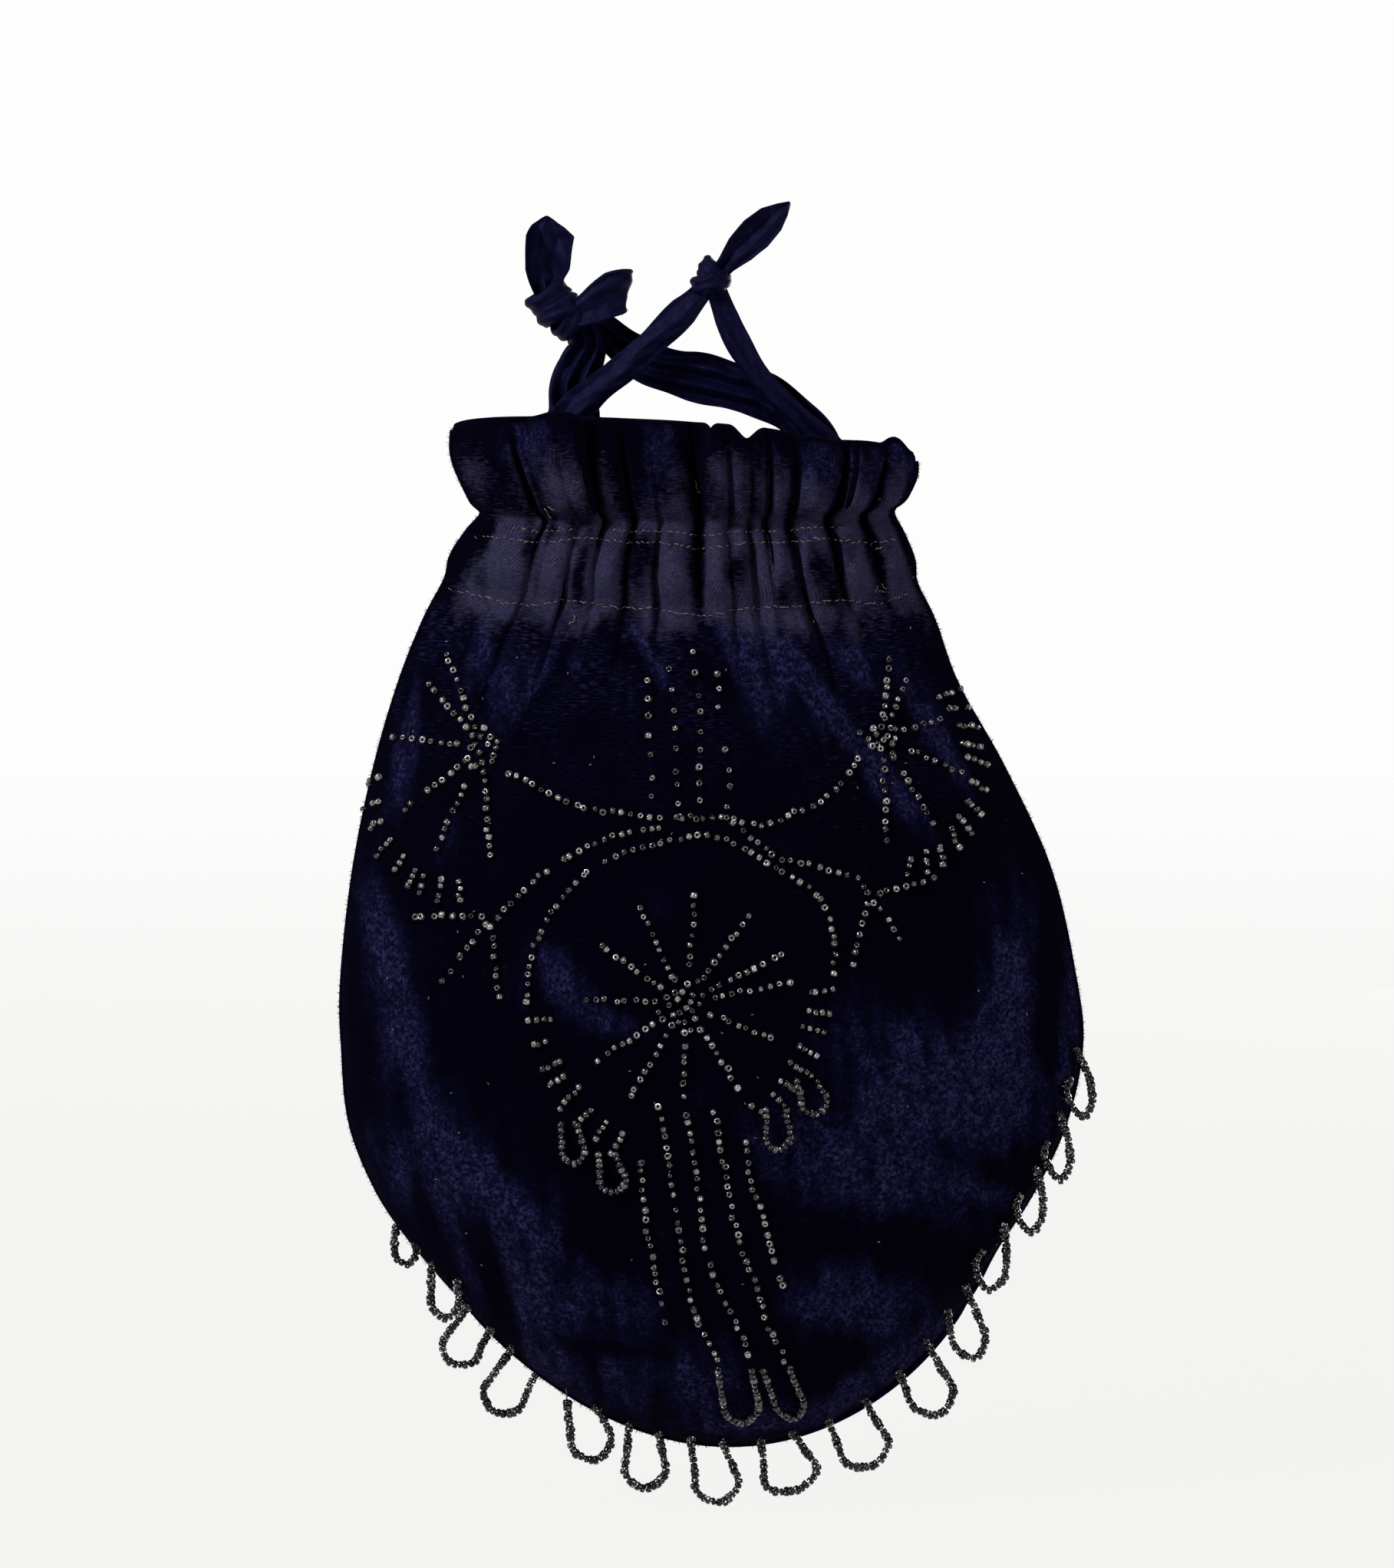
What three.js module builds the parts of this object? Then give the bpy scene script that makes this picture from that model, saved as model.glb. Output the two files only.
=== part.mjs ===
// A velvet drawstring bag. Two velvet panels are sewn together round the sides and the bottom, and two silk
// ribbons gather them below a frilled heading. Loops of seed beads hang along the lower edge and on the face.
// Millimetres, +Z up. The face looks along -Y, and the origin is the front knot, where the bag hangs.

import * as THREE from "three";

// Driving sizes
const WALL = 1.6;
const SEAM_GAP = 0.3;
const FRONT_COLUMNS = 48;
const FRONT_ROWS = 21;
const BACK_COLUMNS = 34;
const BACK_ROWS = 16;
const BULGE = 0.7;
const BACK_RIM_DROP = 4;
const RIM_FADE = 2;
const SEAM_HOLD = 8;
const RIBBON_THICKNESS = 1.6;
const WIDE_RIBBON = 11.5;
const FOLDED_RIBBON = 6;
const BEAD_RADIUS = 1.15;
const BEAD_CLEARANCE = 0.8;
const LOOP_STEPS = 9;
const TUBE_SIDES = 8;

// Turns rows of numbers into records that are read by column name.
function table(columns, rows) {
  return rows.map((row) => Object.fromEntries(columns.map((column, index) => [column, row[index]])));
}

// Sections of the bag, from the rim down to the bottom seam. left and right are the two side seams, with the
// section's height at each and in the middle. front and back are how far the panels stand off the seam's plane,
// arch is how round the section's sag is, and drift moves its middle to the right.
const SECTIONS = table(
  ["left", "leftZ", "midZ", "right", "rightZ", "front", "back", "arch", "drift"],
  [
    [-69.6, -38.1, -37.4, 58.3, -46.0, 16.0, 14.0, 0.5, 0],
    [-69.5, -46.5, -46.0, 58.5, -51.0, 17.0, 15.0, 0.5, 0],
    [-64.5, -58.0, -60.0, 55.5, -57.5, 14.5, 12.5, 0.5, 0],
    [-61.5, -61.5, -64.5, 52.0, -61.0, 12.5, 11.0, 0.5, 0],
    [-65.5, -66.5, -70.0, 55.0, -67.5, 14.5, 13.0, 0.5, 0],
    [-70.0, -73.5, -79.0, 57.8, -74.5, 18.5, 16.5, 0.5, 0],
    [-71.5, -79.8, -88.0, 58.5, -81.0, 17.5, 15.5, 0.5, 0],
    [-77.4, -91.1, -99.5, 63.4, -91.1, 21.0, 18.5, 0.5, 0],
    [-84.5, -109.0, -117.0, 70.0, -109.0, 26.0, 22.5, 0.5, 0],
    [-91.3, -132.3, -140.0, 83.0, -132.3, 31.0, 26.5, 0.55, 0],
    [-97.2, -160.9, -169.0, 96.0, -160.9, 34.5, 29.5, 0.6, 0],
    [-100.6, -191.5, -202.0, 103.0, -191.5, 36.0, 31.0, 0.65, 0],
    [-100.4, -210.0, -226.0, 104.7, -210.0, 35.5, 30.5, 0.7, 0],
    [-98.3, -231.5, -256.0, 100.2, -231.5, 32.5, 28.0, 0.75, 1],
    [-90.4, -251.1, -284.0, 90.9, -251.1, 26.5, 23.0, 0.8, 2],
    [-80.0, -266.0, -305.0, 81.0, -266.0, 17.0, 15.0, 0.85, 3],
    [-71.0, -276.0, -317.0, 75.5, -276.0, 7.5, 6.5, 0.9, 4],
    [-66.8, -280.9, -321.3, 72.1, -280.9, 0.0, 0.0, 0.9, 4],
  ],
);
const LAST_SECTION = SECTIONS.length - 1;
const HEADING = 1;
const PINCH = 3;
const CASING = 5;
const CASING_FOOT = 6;
const BELLY = 11;

// Gathers of the front, from left to right. heading, casing and foot are where the fold's ridge runs across the
// panel (-1 is the left seam, 1 the right), half is its half width there, frill and puff its height at the
// heading and at the casing, and fade the section where it has died away.
const FRONT_GATHERS = table(
  ["heading", "casing", "foot", "half", "frill", "puff", "fade"],
  [
    [-0.84, -0.757, -0.8, 0.15, 3.5, 4.5, 8.8],
    [-0.6, -0.543, -0.62, 0.065, 5.0, 4.0, 9.8],
    [-0.49, -0.43, -0.45, 0.065, 5.0, 4.0, 8.4],
    [-0.33, -0.323, -0.3, 0.065, 1.5, 4.0, 8.6],
    [-0.07, -0.03, 0.03, 0.085, 3.0, 4.4, 9.2],
    [0.14, 0.153, 0.2, 0.06, 4.5, 4.0, 8.6],
    [0.24, 0.27, 0.3, 0.055, 4.0, 3.4, 8.0],
    [0.38, 0.42, 0.52, 0.06, 3.5, 4.0, 10.2],
    [0.57, 0.565, 0.76, 0.1, 5.5, 4.6, 9.8],
    [0.77, 0.755, 0.86, 0.065, 4.5, 4.0, 9.2],
    [0.93, 0.925, 0.95, 0.055, 3.0, 3.2, 7.8],
  ],
);

// Every gather widens towards its foot and is drawn in at the two rows of stitches.
const FOOT_WIDENING = 1.2;
const PINCH_NIP = 0.45;
const FOOT_NIP = 0.25;
const FOOT_NIP_REACH = 0.6;

// The back's gathers are spaced evenly, and their heights take turns.
const BACK_GATHER_COUNT = 9;
const BACK_GATHER_REACH = 0.9;
const BACK_FOOT_SPREAD = 1.05;
const BACK_TURNS = 3;
const BACK_GATHER = { half: 0.09, frill: 2, puff: 3, fade: 8 };
const BACK_GATHERS = Array.from({ length: BACK_GATHER_COUNT }, (_, index) => {
  const place = BACK_GATHER_REACH * ((2 * index + 1) / BACK_GATHER_COUNT - 1);
  const turn = index % BACK_TURNS;
  return {
    heading: place,
    casing: place,
    foot: place * BACK_FOOT_SPREAD,
    half: BACK_GATHER.half,
    frill: BACK_GATHER.frill + turn,
    puff: BACK_GATHER.puff,
    fade: BACK_GATHER.fade + turn,
  };
});

// Uneven places of the rim: a peak at the strong pleat, a notch right of the middle, a lift at the right end.
const RIM_STEPS = table(
  ["at", "half", "rise"],
  [
    [-0.54, 0.12, 1.4],
    [0.27, 0.1, -3.4],
    [0.6, 0.3, -1.2],
    [0.92, 0.09, 2.4],
  ],
);

// Long soft folds and dents on the face. turn is the fold's direction in degrees from upright, to the right going
// down. run is its half length, half its half width, and rise its height, less than nothing for a dent.
const FACE_FOLDS = table(
  ["x", "z", "turn", "run", "half", "rise"],
  [
    [-84, -195, 18, 26, 11, 1.8],
    [-62, -252, 46, 42, 15, 2.5],
    [-54, -279, 10, 24, 8, -2.2],
    [86, -200, -4, 30, 13, 1.8],
    [51, -234, 45, 24, 13, 1.8],
    [-24, -304, 55, 10, 8, -2.0],
    [39, -294, -50, 12, 9, -2.0],
  ],
);

const clamp01 = (value) => Math.min(1, Math.max(0, value));
const mix = THREE.MathUtils.lerp;
const hump = (distance) => (Math.abs(distance) < 1 ? Math.cos((distance * Math.PI) / 2) ** 2 : 0);

// One column of the section table as a smooth curve through its rows.
function curveThrough(column) {
  const points = SECTIONS.map((row, index) => new THREE.Vector2(index, row[column]));
  return new THREE.SplineCurve(points);
}

const sectionCurves = Object.fromEntries(Object.keys(SECTIONS[0]).map((column) => [column, curveThrough(column)]));
const sectionAt = (column, down) => sectionCurves[column].getPoint(down / LAST_SECTION).y;

// Height of one gather above the panel: a ridge that wanders from heading to casing to foot, widening below.
function gatherLift(gather, across, down) {
  const toCasing = clamp01((down - HEADING) / (CASING - HEADING));
  const toFoot = clamp01((down - CASING) / (gather.fade - CASING));
  const ridge = mix(mix(gather.heading, gather.casing, toCasing), gather.foot, toFoot);
  const half = gather.half * (1 + FOOT_WIDENING * toFoot);
  const height = mix(gather.frill, gather.puff, toCasing) * (1 - toFoot);
  const footNip = FOOT_NIP * hump((down - CASING_FOOT) / FOOT_NIP_REACH);
  const nipped = 1 - PINCH_NIP * hump(down - PINCH) - footNip;
  return height * nipped * hump((across - ridge) / half);
}

// Height of one long face fold at a place on the face.
function foldLift(fold, x, z) {
  const turn = THREE.MathUtils.degToRad(fold.turn);
  const along = (x - fold.x) * Math.sin(turn) - (z - fold.z) * Math.cos(turn);
  const aside = (x - fold.x) * Math.cos(turn) + (z - fold.z) * Math.sin(turn);
  return fold.rise * hump(along / fold.run) * hump(aside / fold.half);
}

// Plan place of a panel point: its x and z, seen from the front, before any bulge.
function outlinePlace(side, across, down, inset) {
  const left = sectionAt("left", down) + inset;
  const right = sectionAt("right", down) - inset;
  const bow = Math.max(0, 1 - across * across);
  const ends = mix(sectionAt("leftZ", down), sectionAt("rightZ", down), (across + 1) / 2);
  const sag = sectionAt("midZ", down) - (sectionAt("leftZ", down) + sectionAt("rightZ", down)) / 2;
  const nearRim = clamp01(1 - down / RIM_FADE);
  const steps = RIM_STEPS.reduce((sum, step) => sum + step.rise * hump((across - step.at) / step.half), 0);
  const rim = side === "front" ? steps * nearRim : -BACK_RIM_DROP * bow * nearRim;
  const nearBottom = THREE.MathUtils.smoothstep(down, BELLY, LAST_SECTION);
  const x = mix(left, right, (across + 1) / 2) + sectionAt("drift", down) * bow;
  const z = ends + sag * bow ** sectionAt("arch", down) + rim + inset * nearBottom;
  return { x, z, bow };
}

// A point of a panel's outer skin (inset 0) or inner skin (inset of one wall).
function panelPoint(side, across, down, inset) {
  const { x, z, bow } = outlinePlace(side, across, down, inset);
  const gathers = side === "front" ? FRONT_GATHERS : BACK_GATHERS;
  const folds = side === "front" ? FACE_FOLDS : [];
  const nearSeam = (1 - across ** SEAM_HOLD) * clamp01(LAST_SECTION - down);
  const lifts = gathers.reduce((sum, gather) => sum + gatherLift(gather, across, down), 0);
  const creases = folds.reduce((sum, fold) => sum + foldLift(fold, x, z), 0);
  const bulge = Math.max(0, sectionAt(side, down) - inset) * bow ** BULGE;
  const stand = Math.max(0, bulge + (lifts + creases) * nearSeam);
  return new THREE.Vector3(x, (side === "front" ? -1 : 1) * (SEAM_GAP / 2 + stand), z);
}

// A closed wall: an outer and an inner skin on the same grid, joined all round the border.
function panelGeometry(side, columns, rows) {
  const vertices = [];
  for (const inset of [0, WALL]) {
    for (let row = 0; row <= rows; row += 1) {
      for (let column = 0; column <= columns; column += 1) {
        vertices.push(panelPoint(side, (2 * column) / columns - 1, (LAST_SECTION * row) / rows, inset));
      }
    }
  }
  const skin = (columns + 1) * (rows + 1);
  const at = (column, row) => row * (columns + 1) + column;
  const faces = [];
  const addQuad = (a, b, c, d) => faces.push([a, b, c], [a, c, d]);
  for (let row = 0; row < rows; row += 1) {
    for (let column = 0; column < columns; column += 1) {
      const corners = [at(column, row), at(column, row + 1), at(column + 1, row + 1), at(column + 1, row)];
      addQuad(...corners);
      addQuad(...corners.map((corner) => corner + skin).reverse());
    }
  }
  const border = [];
  for (let row = 0; row < rows; row += 1) border.push(at(0, row));
  for (let column = 0; column < columns; column += 1) border.push(at(column, rows));
  for (let row = rows; row > 0; row -= 1) border.push(at(columns, row));
  for (let column = columns; column > 0; column -= 1) border.push(at(column, 0));
  border.forEach((corner, index) => {
    const next = border[(index + 1) % border.length];
    addQuad(next, corner, corner + skin, next + skin);
  });
  const geometry = new THREE.BufferGeometry().setFromPoints(vertices);
  geometry.setIndex((side === "front" ? faces : faces.map((face) => face.reverse())).flat());
  geometry.computeVertexNormals();
  return geometry;
}

// The section and place across the front panel that show at x and z, found by halving.
const HALVINGS = 40;

function placeOnFront(x, z) {
  let upper = 0;
  let lower = LAST_SECTION;
  let across = 0;
  for (let step = 0; step < HALVINGS; step += 1) {
    const down = (upper + lower) / 2;
    const half = (sectionAt("right", down) - sectionAt("left", down)) / 2;
    const middle = (sectionAt("right", down) + sectionAt("left", down)) / 2;
    const drift = sectionAt("drift", down) * (1 - across * across);
    across = THREE.MathUtils.clamp((x - middle - drift) / half, -1, 1);
    if (outlinePlace("front", across, down, 0).z > z) upper = down;
    else lower = down;
  }
  return { across, down: (upper + lower) / 2 };
}

// How far the front's outer skin stands forward at x and z. Off the panel it is the seam's plane.
const NEAR_PANEL = 1;
const ON_PANEL = 0.05;

function frontSurface(x, z) {
  const { across, down } = placeOnFront(x, z);
  const point = panelPoint("front", across, down, 0);
  return Math.hypot(point.x - x, point.z - z) < NEAR_PANEL ? point.y : 0;
}

// The seam's line below the belly, as a point for an angle about the belly's centre, 0 straight down.
const BELLY_CENTRE = new THREE.Vector2(2, -206.4);
const BEYOND_SEAM = 140;

function seamAt(degrees, inset) {
  const angle = THREE.MathUtils.degToRad(degrees);
  const ray = new THREE.Vector2(Math.sin(angle), -Math.cos(angle));
  let inside = 0;
  let outside = BEYOND_SEAM;
  for (let step = 0; step < HALVINGS; step += 1) {
    const reach = (inside + outside) / 2;
    const spot = BELLY_CENTRE.clone().addScaledVector(ray, reach);
    const { across, down } = placeOnFront(spot.x, spot.y);
    const found = outlinePlace("front", across, down, 0);
    if (Math.hypot(found.x - spot.x, found.z - spot.y) < ON_PANEL) inside = reach;
    else outside = reach;
  }
  return BELLY_CENTRE.clone().addScaledVector(ray, inside - inset);
}

// Fringe loops along the lower edge. angle is the loop's place on the seam, spread the distance between its two
// ends in degrees, drop its length, lean its slant in degrees to the right, and belly its width. inset is how far
// inside the seam it is sewn on.
const FRINGE_LOOPS = table(
  ["angle", "spread", "drop", "lean", "belly", "inset"],
  [
    [-57.0, 4.0, 8.0, 4, 5.0, 0.0],
    [-49.0, 4.6, 13.0, 2, 7.0, -0.6],
    [-39.4, 5.0, 16.0, -32, 10.0, 0.4],
    [-30.0, 5.0, 16.6, -31, 11.0, 0.4],
    [-20.0, 4.6, 18.0, 15, 10.5, 1.6],
    [-9.8, 4.4, 17.0, 2, 11.0, 1.6],
    [-0.8, 4.5, 18.2, 14, 11.5, 2.6],
    [9.2, 4.5, 16.6, 20, 15.0, 2.6],
    [19.8, 6.0, 18.0, 26, 13.0, 2.6],
    [32.2, 6.0, 18.5, 27, 11.5, 3.2],
    [43.3, 4.6, 17.8, 18, 8.5, 3.6],
    [54.9, 5.6, 15.0, -4, 7.0, 3.8],
    [65.8, 5.4, 14.5, 4, 5.5, 3.8],
    [75.4, 5.0, 14.8, 9, 5.5, 3.6],
    [85.8, 4.8, 15.2, 12, 5.5, 2.0],
  ],
);

// Drop loops on the face, by the middle of their two ends.
const DROP_LOOPS = table(
  ["x", "z", "spread", "drop", "lean", "belly"],
  [
    [-36.8, -227.2, 4.5, 11.1, 9, 6.0],
    [-26.6, -235.1, 4.5, 11.0, 13, 7.0],
    [19.4, -222.6, 5.5, 11.5, 4, 6.5],
    [27.6, -214.8, 5.5, 9.9, 19, 6.8],
    [8.2, -296.2, 9.5, 16.8, 10, 9.0],
    [19.7, -296.5, 7.5, 16.6, 20, 6.8],
  ],
);

// A hanging loop between two ends in the plan: shoulders, cheeks and a round tip, as x and z. The shares say how far
// down the drop the shoulders and the cheeks are.
const SHOULDER_SHARE = 0.4;
const CHEEK_SHARE = 0.78;

function loopOutline(start, end, drop, lean, belly) {
  const slant = THREE.MathUtils.degToRad(lean);
  const down = new THREE.Vector2(Math.sin(slant), -Math.cos(slant));
  const aside = new THREE.Vector2(Math.cos(slant), Math.sin(slant));
  const middle = start.clone().add(end).multiplyScalar(0.5);
  const at = (share, offset) => middle.clone().addScaledVector(down, drop * share).addScaledVector(aside, offset);
  const shoulder = (start.distanceTo(end) + belly) / 4;
  const cheek = belly / 2;
  const falling = [at(SHOULDER_SHARE, -shoulder), at(CHEEK_SHARE, -cheek)];
  const rising = [at(CHEEK_SHARE, cheek), at(SHOULDER_SHARE, shoulder)];
  return [start, ...falling, at(1, 0), ...rising, end];
}

// A flat or round section with eight sides, its first size through the thickness.
function tubeSection(thickness, width) {
  const reach = 1 / Math.cos(Math.PI / TUBE_SIDES);
  const corners = Array.from({ length: TUBE_SIDES }, (_, index) => {
    const angle = ((index + 0.5) * 2 * Math.PI) / TUBE_SIDES;
    return new THREE.Vector2((Math.cos(angle) * reach * thickness) / 2, (Math.sin(angle) * reach * width) / 2);
  });
  return new THREE.Shape(corners);
}

function tubeGeometry(points, thickness, width, steps) {
  const extrudePath = new THREE.CatmullRomCurve3(points, false, "centripetal");
  return new THREE.ExtrudeGeometry(tubeSection(thickness, width), { steps, bevelEnabled: false, extrudePath });
}

// Ribbon strands, from inside the neck up to their knot, as points of their middle line.
const RIBBON_ROUTES = {
  ribbon_back_left: {
    width: WIDE_RIBBON,
    points: [
      [-49.6, 1.5, -65.0],
      [-47.5, 1.6, -60.0],
      [-43.0, 1.8, -50.0],
      [-38.6, 1.6, -42.0],
      [-36.2, 1.4, -35.0],
      [-36.2, 1.4, -27.5],
      [-34.0, 1.8, -20.5],
      [-32.4, 2.0, -15.0],
      [-32.2, 2.0, -12.0],
    ],
  },
  ribbon_back_right: {
    width: WIDE_RIBBON,
    points: [
      [39.5, 1.4, -65.0],
      [38.0, 1.8, -56.5],
      [35.5, 2.0, -47.5],
      [31.5, 2.6, -39.8],
      [25.0, 3.4, -33.6],
      [17.0, 4.0, -29.4],
      [8.5, 4.4, -26.6],
      [0.0, 4.8, -24.4],
      [-8.0, 5.0, -22.6],
      [-15.0, 5.2, -20.2],
      [-21.0, 5.4, -16.4],
      [-27.0, 5.8, -11.6],
      [-32.6, 6.2, -7.6],
    ],
  },
  ribbon_front_left: {
    width: FOLDED_RIBBON,
    points: [
      [-55.0, -1.4, -64.5],
      [-51.5, -1.6, -55.0],
      [-46.5, -2.0, -46.0],
      [-38.5, -2.6, -36.0],
      [-31.0, -3.2, -28.6],
      [-22.0, -3.4, -21.4],
      [-14.5, -3.0, -14.6],
      [-7.4, -2.0, -7.6],
      [-3.2, -1.0, -3.4],
    ],
  },
  ribbon_front_right: {
    width: FOLDED_RIBBON,
    points: [
      [44.5, -1.4, -65.0],
      [42.5, -1.8, -56.5],
      [39.5, -2.2, -48.0],
      [33.0, -2.6, -40.6],
      [25.5, -2.6, -34.2],
      [18.5, -2.2, -27.6],
      [12.6, -1.6, -20.0],
      [8.0, -0.8, -12.0],
      [5.0, -0.2, -4.6],
    ],
  },
};
const RIBBON_STEP = 7;

// Knots of the two drawstrings: a wound trefoil of the bunched ribbon.
const KNOTS = {
  knot_back: { place: [-40.8, 0.6, -4.6], turn: 0.4, size: 1.32 },
  knot_front: { place: [2.4, 0.0, 3.2], turn: -0.5, size: 1.08 },
};
const KNOT_RADIUS = 3.0;
const KNOT_STRAND = 1.25;
const KNOT_STEPS = 36;
const KNOT_SIDES = 6;
const KNOT_WINDINGS = [2, 3];

// Loose ribbon ends above the knots, drawn as flat leaves: their foot, slant to the right, length and width.
const RIBBON_ENDS = {
  end_back_up: { foot: [-43.4, 0.0, 3.0], lean: 1, length: 17.0, width: 14.5, pinch: 8.0 },
  end_back_side: { foot: [-33.4, -2.8, -3.6], lean: 56, length: 18.0, width: 12.5, pinch: 10.0 },
  end_front: { foot: [6.8, -0.4, 7.8], lean: 47, length: 24.0, width: 11.5, pinch: 5.5 },
};

// A ribbon end seen flat: pinched at the foot, widest before the middle, drawn in to a blunt tip. The shares are of
// the end's width and length.
const LEAF_BOW = 0.72;
const LEAF_BOW_HEIGHT = 0.55;
const LEAF_TIP = 0.14;
const LEAF_STEPS = 6;

function leafShape(length, width, pinch) {
  const leaf = new THREE.Shape();
  leaf.moveTo(-pinch / 2, 0);
  leaf.quadraticCurveTo(-width * LEAF_BOW, length * LEAF_BOW_HEIGHT, -width * LEAF_TIP, length);
  leaf.lineTo(width * LEAF_TIP, length);
  leaf.quadraticCurveTo(width * LEAF_BOW, length * LEAF_BOW_HEIGHT, pinch / 2, 0);
  leaf.closePath();
  return leaf;
}

const velvet = new THREE.MeshStandardMaterial({ color: 0x0d0f1d, roughness: 0.95, metalness: 0 });
const silk = new THREE.MeshStandardMaterial({ color: 0x17181f, roughness: 0.6, metalness: 0 });
const glassBeads = new THREE.MeshStandardMaterial({ color: 0x3a3a42, roughness: 0.18, metalness: 0.4 });

function namedMesh(name, geometry, material) {
  const mesh = new THREE.Mesh(geometry, material);
  mesh.name = name;
  return mesh;
}

function buildPanels() {
  const panels = new THREE.Group();
  panels.add(namedMesh("front_panel", panelGeometry("front", FRONT_COLUMNS, FRONT_ROWS), velvet));
  panels.add(namedMesh("back_panel", panelGeometry("back", BACK_COLUMNS, BACK_ROWS), velvet));
  return panels;
}

function buildRibbons() {
  const ribbons = new THREE.Group();
  for (const [name, route] of Object.entries(RIBBON_ROUTES)) {
    const points = route.points.map((point) => new THREE.Vector3(...point));
    const steps = Math.ceil(new THREE.CatmullRomCurve3(points).getLength() / RIBBON_STEP);
    ribbons.add(namedMesh(name, tubeGeometry(points, RIBBON_THICKNESS, route.width, steps), silk));
  }
  for (const [name, knot] of Object.entries(KNOTS)) {
    const wound = new THREE.TorusKnotGeometry(KNOT_RADIUS, KNOT_STRAND, KNOT_STEPS, KNOT_SIDES, ...KNOT_WINDINGS);
    const mesh = namedMesh(name, wound, silk);
    mesh.position.set(...knot.place);
    mesh.rotation.set(Math.PI / 2, knot.turn, 0);
    mesh.scale.setScalar(knot.size);
    ribbons.add(mesh);
  }
  for (const [name, end] of Object.entries(RIBBON_ENDS)) {
    const leaf = leafShape(end.length, end.width, end.pinch);
    const cut = { depth: RIBBON_THICKNESS, bevelEnabled: false, curveSegments: LEAF_STEPS };
    const flat = new THREE.ExtrudeGeometry(leaf, cut);
    flat.translate(0, 0, -RIBBON_THICKNESS / 2);
    const mesh = namedMesh(name, flat, silk);
    mesh.rotation.set(Math.PI / 2, 0, -THREE.MathUtils.degToRad(end.lean));
    mesh.position.set(...end.foot);
    ribbons.add(mesh);
  }
  return ribbons;
}

// Strings of beads hang just in front of the velvet: each point stands off the surface behind it.
function beadString(outline, extraForward) {
  const standOff = BEAD_RADIUS + BEAD_CLEARANCE;
  const points = outline.map((spot) => {
    const surface = Math.min(frontSurface(spot.x, spot.y), extraForward);
    return new THREE.Vector3(spot.x, surface - standOff, spot.y);
  });
  return tubeGeometry(points, 2 * BEAD_RADIUS, 2 * BEAD_RADIUS, LOOP_STEPS);
}

function buildBeadLoops() {
  const loops = new THREE.Group();
  FRINGE_LOOPS.forEach((loop, index) => {
    const start = seamAt(loop.angle - loop.spread / 2, loop.inset);
    const end = seamAt(loop.angle + loop.spread / 2, loop.inset);
    const outline = loopOutline(start, end, loop.drop, loop.lean, loop.belly);
    const forward = Math.min(frontSurface(start.x, start.y), frontSurface(end.x, end.y));
    const name = `fringe_loop_${String(index + 1).padStart(2, "0")}`;
    loops.add(namedMesh(name, beadString(outline, forward), glassBeads));
  });
  DROP_LOOPS.forEach((loop, index) => {
    const start = new THREE.Vector2(loop.x - loop.spread / 2, loop.z);
    const end = new THREE.Vector2(loop.x + loop.spread / 2, loop.z);
    const outline = loopOutline(start, end, loop.drop, loop.lean, loop.belly);
    loops.add(namedMesh(`drop_loop_${index + 1}`, beadString(outline, 0), glassBeads));
  });
  return loops;
}

const bag = new THREE.Group();
bag.add(buildPanels(), buildRibbons(), buildBeadLoops());

export default bag;
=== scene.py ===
# %% [markdown]
# # A velvet drawstring bag
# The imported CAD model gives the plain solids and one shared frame: metres, the front
# knot of the ribbons at the origin, the beaded face looking along -Y. This lesson
# dresses that frame. Velvet, ribbons, beads and thread are each a surface worked out
# with numpy, so a learner can read how every fold and bead gets its place.

import math

import bpy
import numpy as np
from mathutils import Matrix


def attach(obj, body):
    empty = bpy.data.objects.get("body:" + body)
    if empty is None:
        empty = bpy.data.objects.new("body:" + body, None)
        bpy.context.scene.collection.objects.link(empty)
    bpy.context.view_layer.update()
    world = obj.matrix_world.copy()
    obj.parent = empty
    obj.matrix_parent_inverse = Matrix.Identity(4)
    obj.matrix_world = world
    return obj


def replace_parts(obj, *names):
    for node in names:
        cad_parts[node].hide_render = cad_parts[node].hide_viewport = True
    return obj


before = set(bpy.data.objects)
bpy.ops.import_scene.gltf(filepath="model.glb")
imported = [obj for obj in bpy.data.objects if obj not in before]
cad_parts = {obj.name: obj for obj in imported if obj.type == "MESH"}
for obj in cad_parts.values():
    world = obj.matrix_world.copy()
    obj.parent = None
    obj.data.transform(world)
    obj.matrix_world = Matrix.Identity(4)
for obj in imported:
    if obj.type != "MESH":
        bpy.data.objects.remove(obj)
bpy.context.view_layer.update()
MM = 0.001
print("CAD nodes in the frame:", len(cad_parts))


def add_object(name, data):
    """A new object in the scene that shows the data."""
    made = bpy.data.objects.new(name, data)
    bpy.context.scene.collection.objects.link(made)
    return made


# %% [markdown]
# ## The camera
# The photograph looks almost straight at the beaded face. The camera could be placed
# by eye, but here its lens follows from two measures: how many pixels of the
# photograph cover a millimetre at the bag's side seam, and where the front knot is.

# %% Camera
PHOTO_WIDE, PHOTO_TALL = 1817, 2044
PIXELS_PER_MM = 4.7
KNOT_PX, KNOT_PY = 918, 380
CAMERA_DISTANCE = 1400
CAMERA_RISE = math.radians(3)
SENSOR_MM = 36

AIM = np.array([(PHOTO_WIDE / 2 - KNOT_PX), 0, (KNOT_PY - PHOTO_TALL / 2)]) / PIXELS_PER_MM
LOOK = np.array([0, math.cos(CAMERA_RISE), -math.sin(CAMERA_RISE)])
LOOK_UP = np.array([0, math.sin(CAMERA_RISE), math.cos(CAMERA_RISE)])
EYE = AIM - CAMERA_DISTANCE * LOOK

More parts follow.
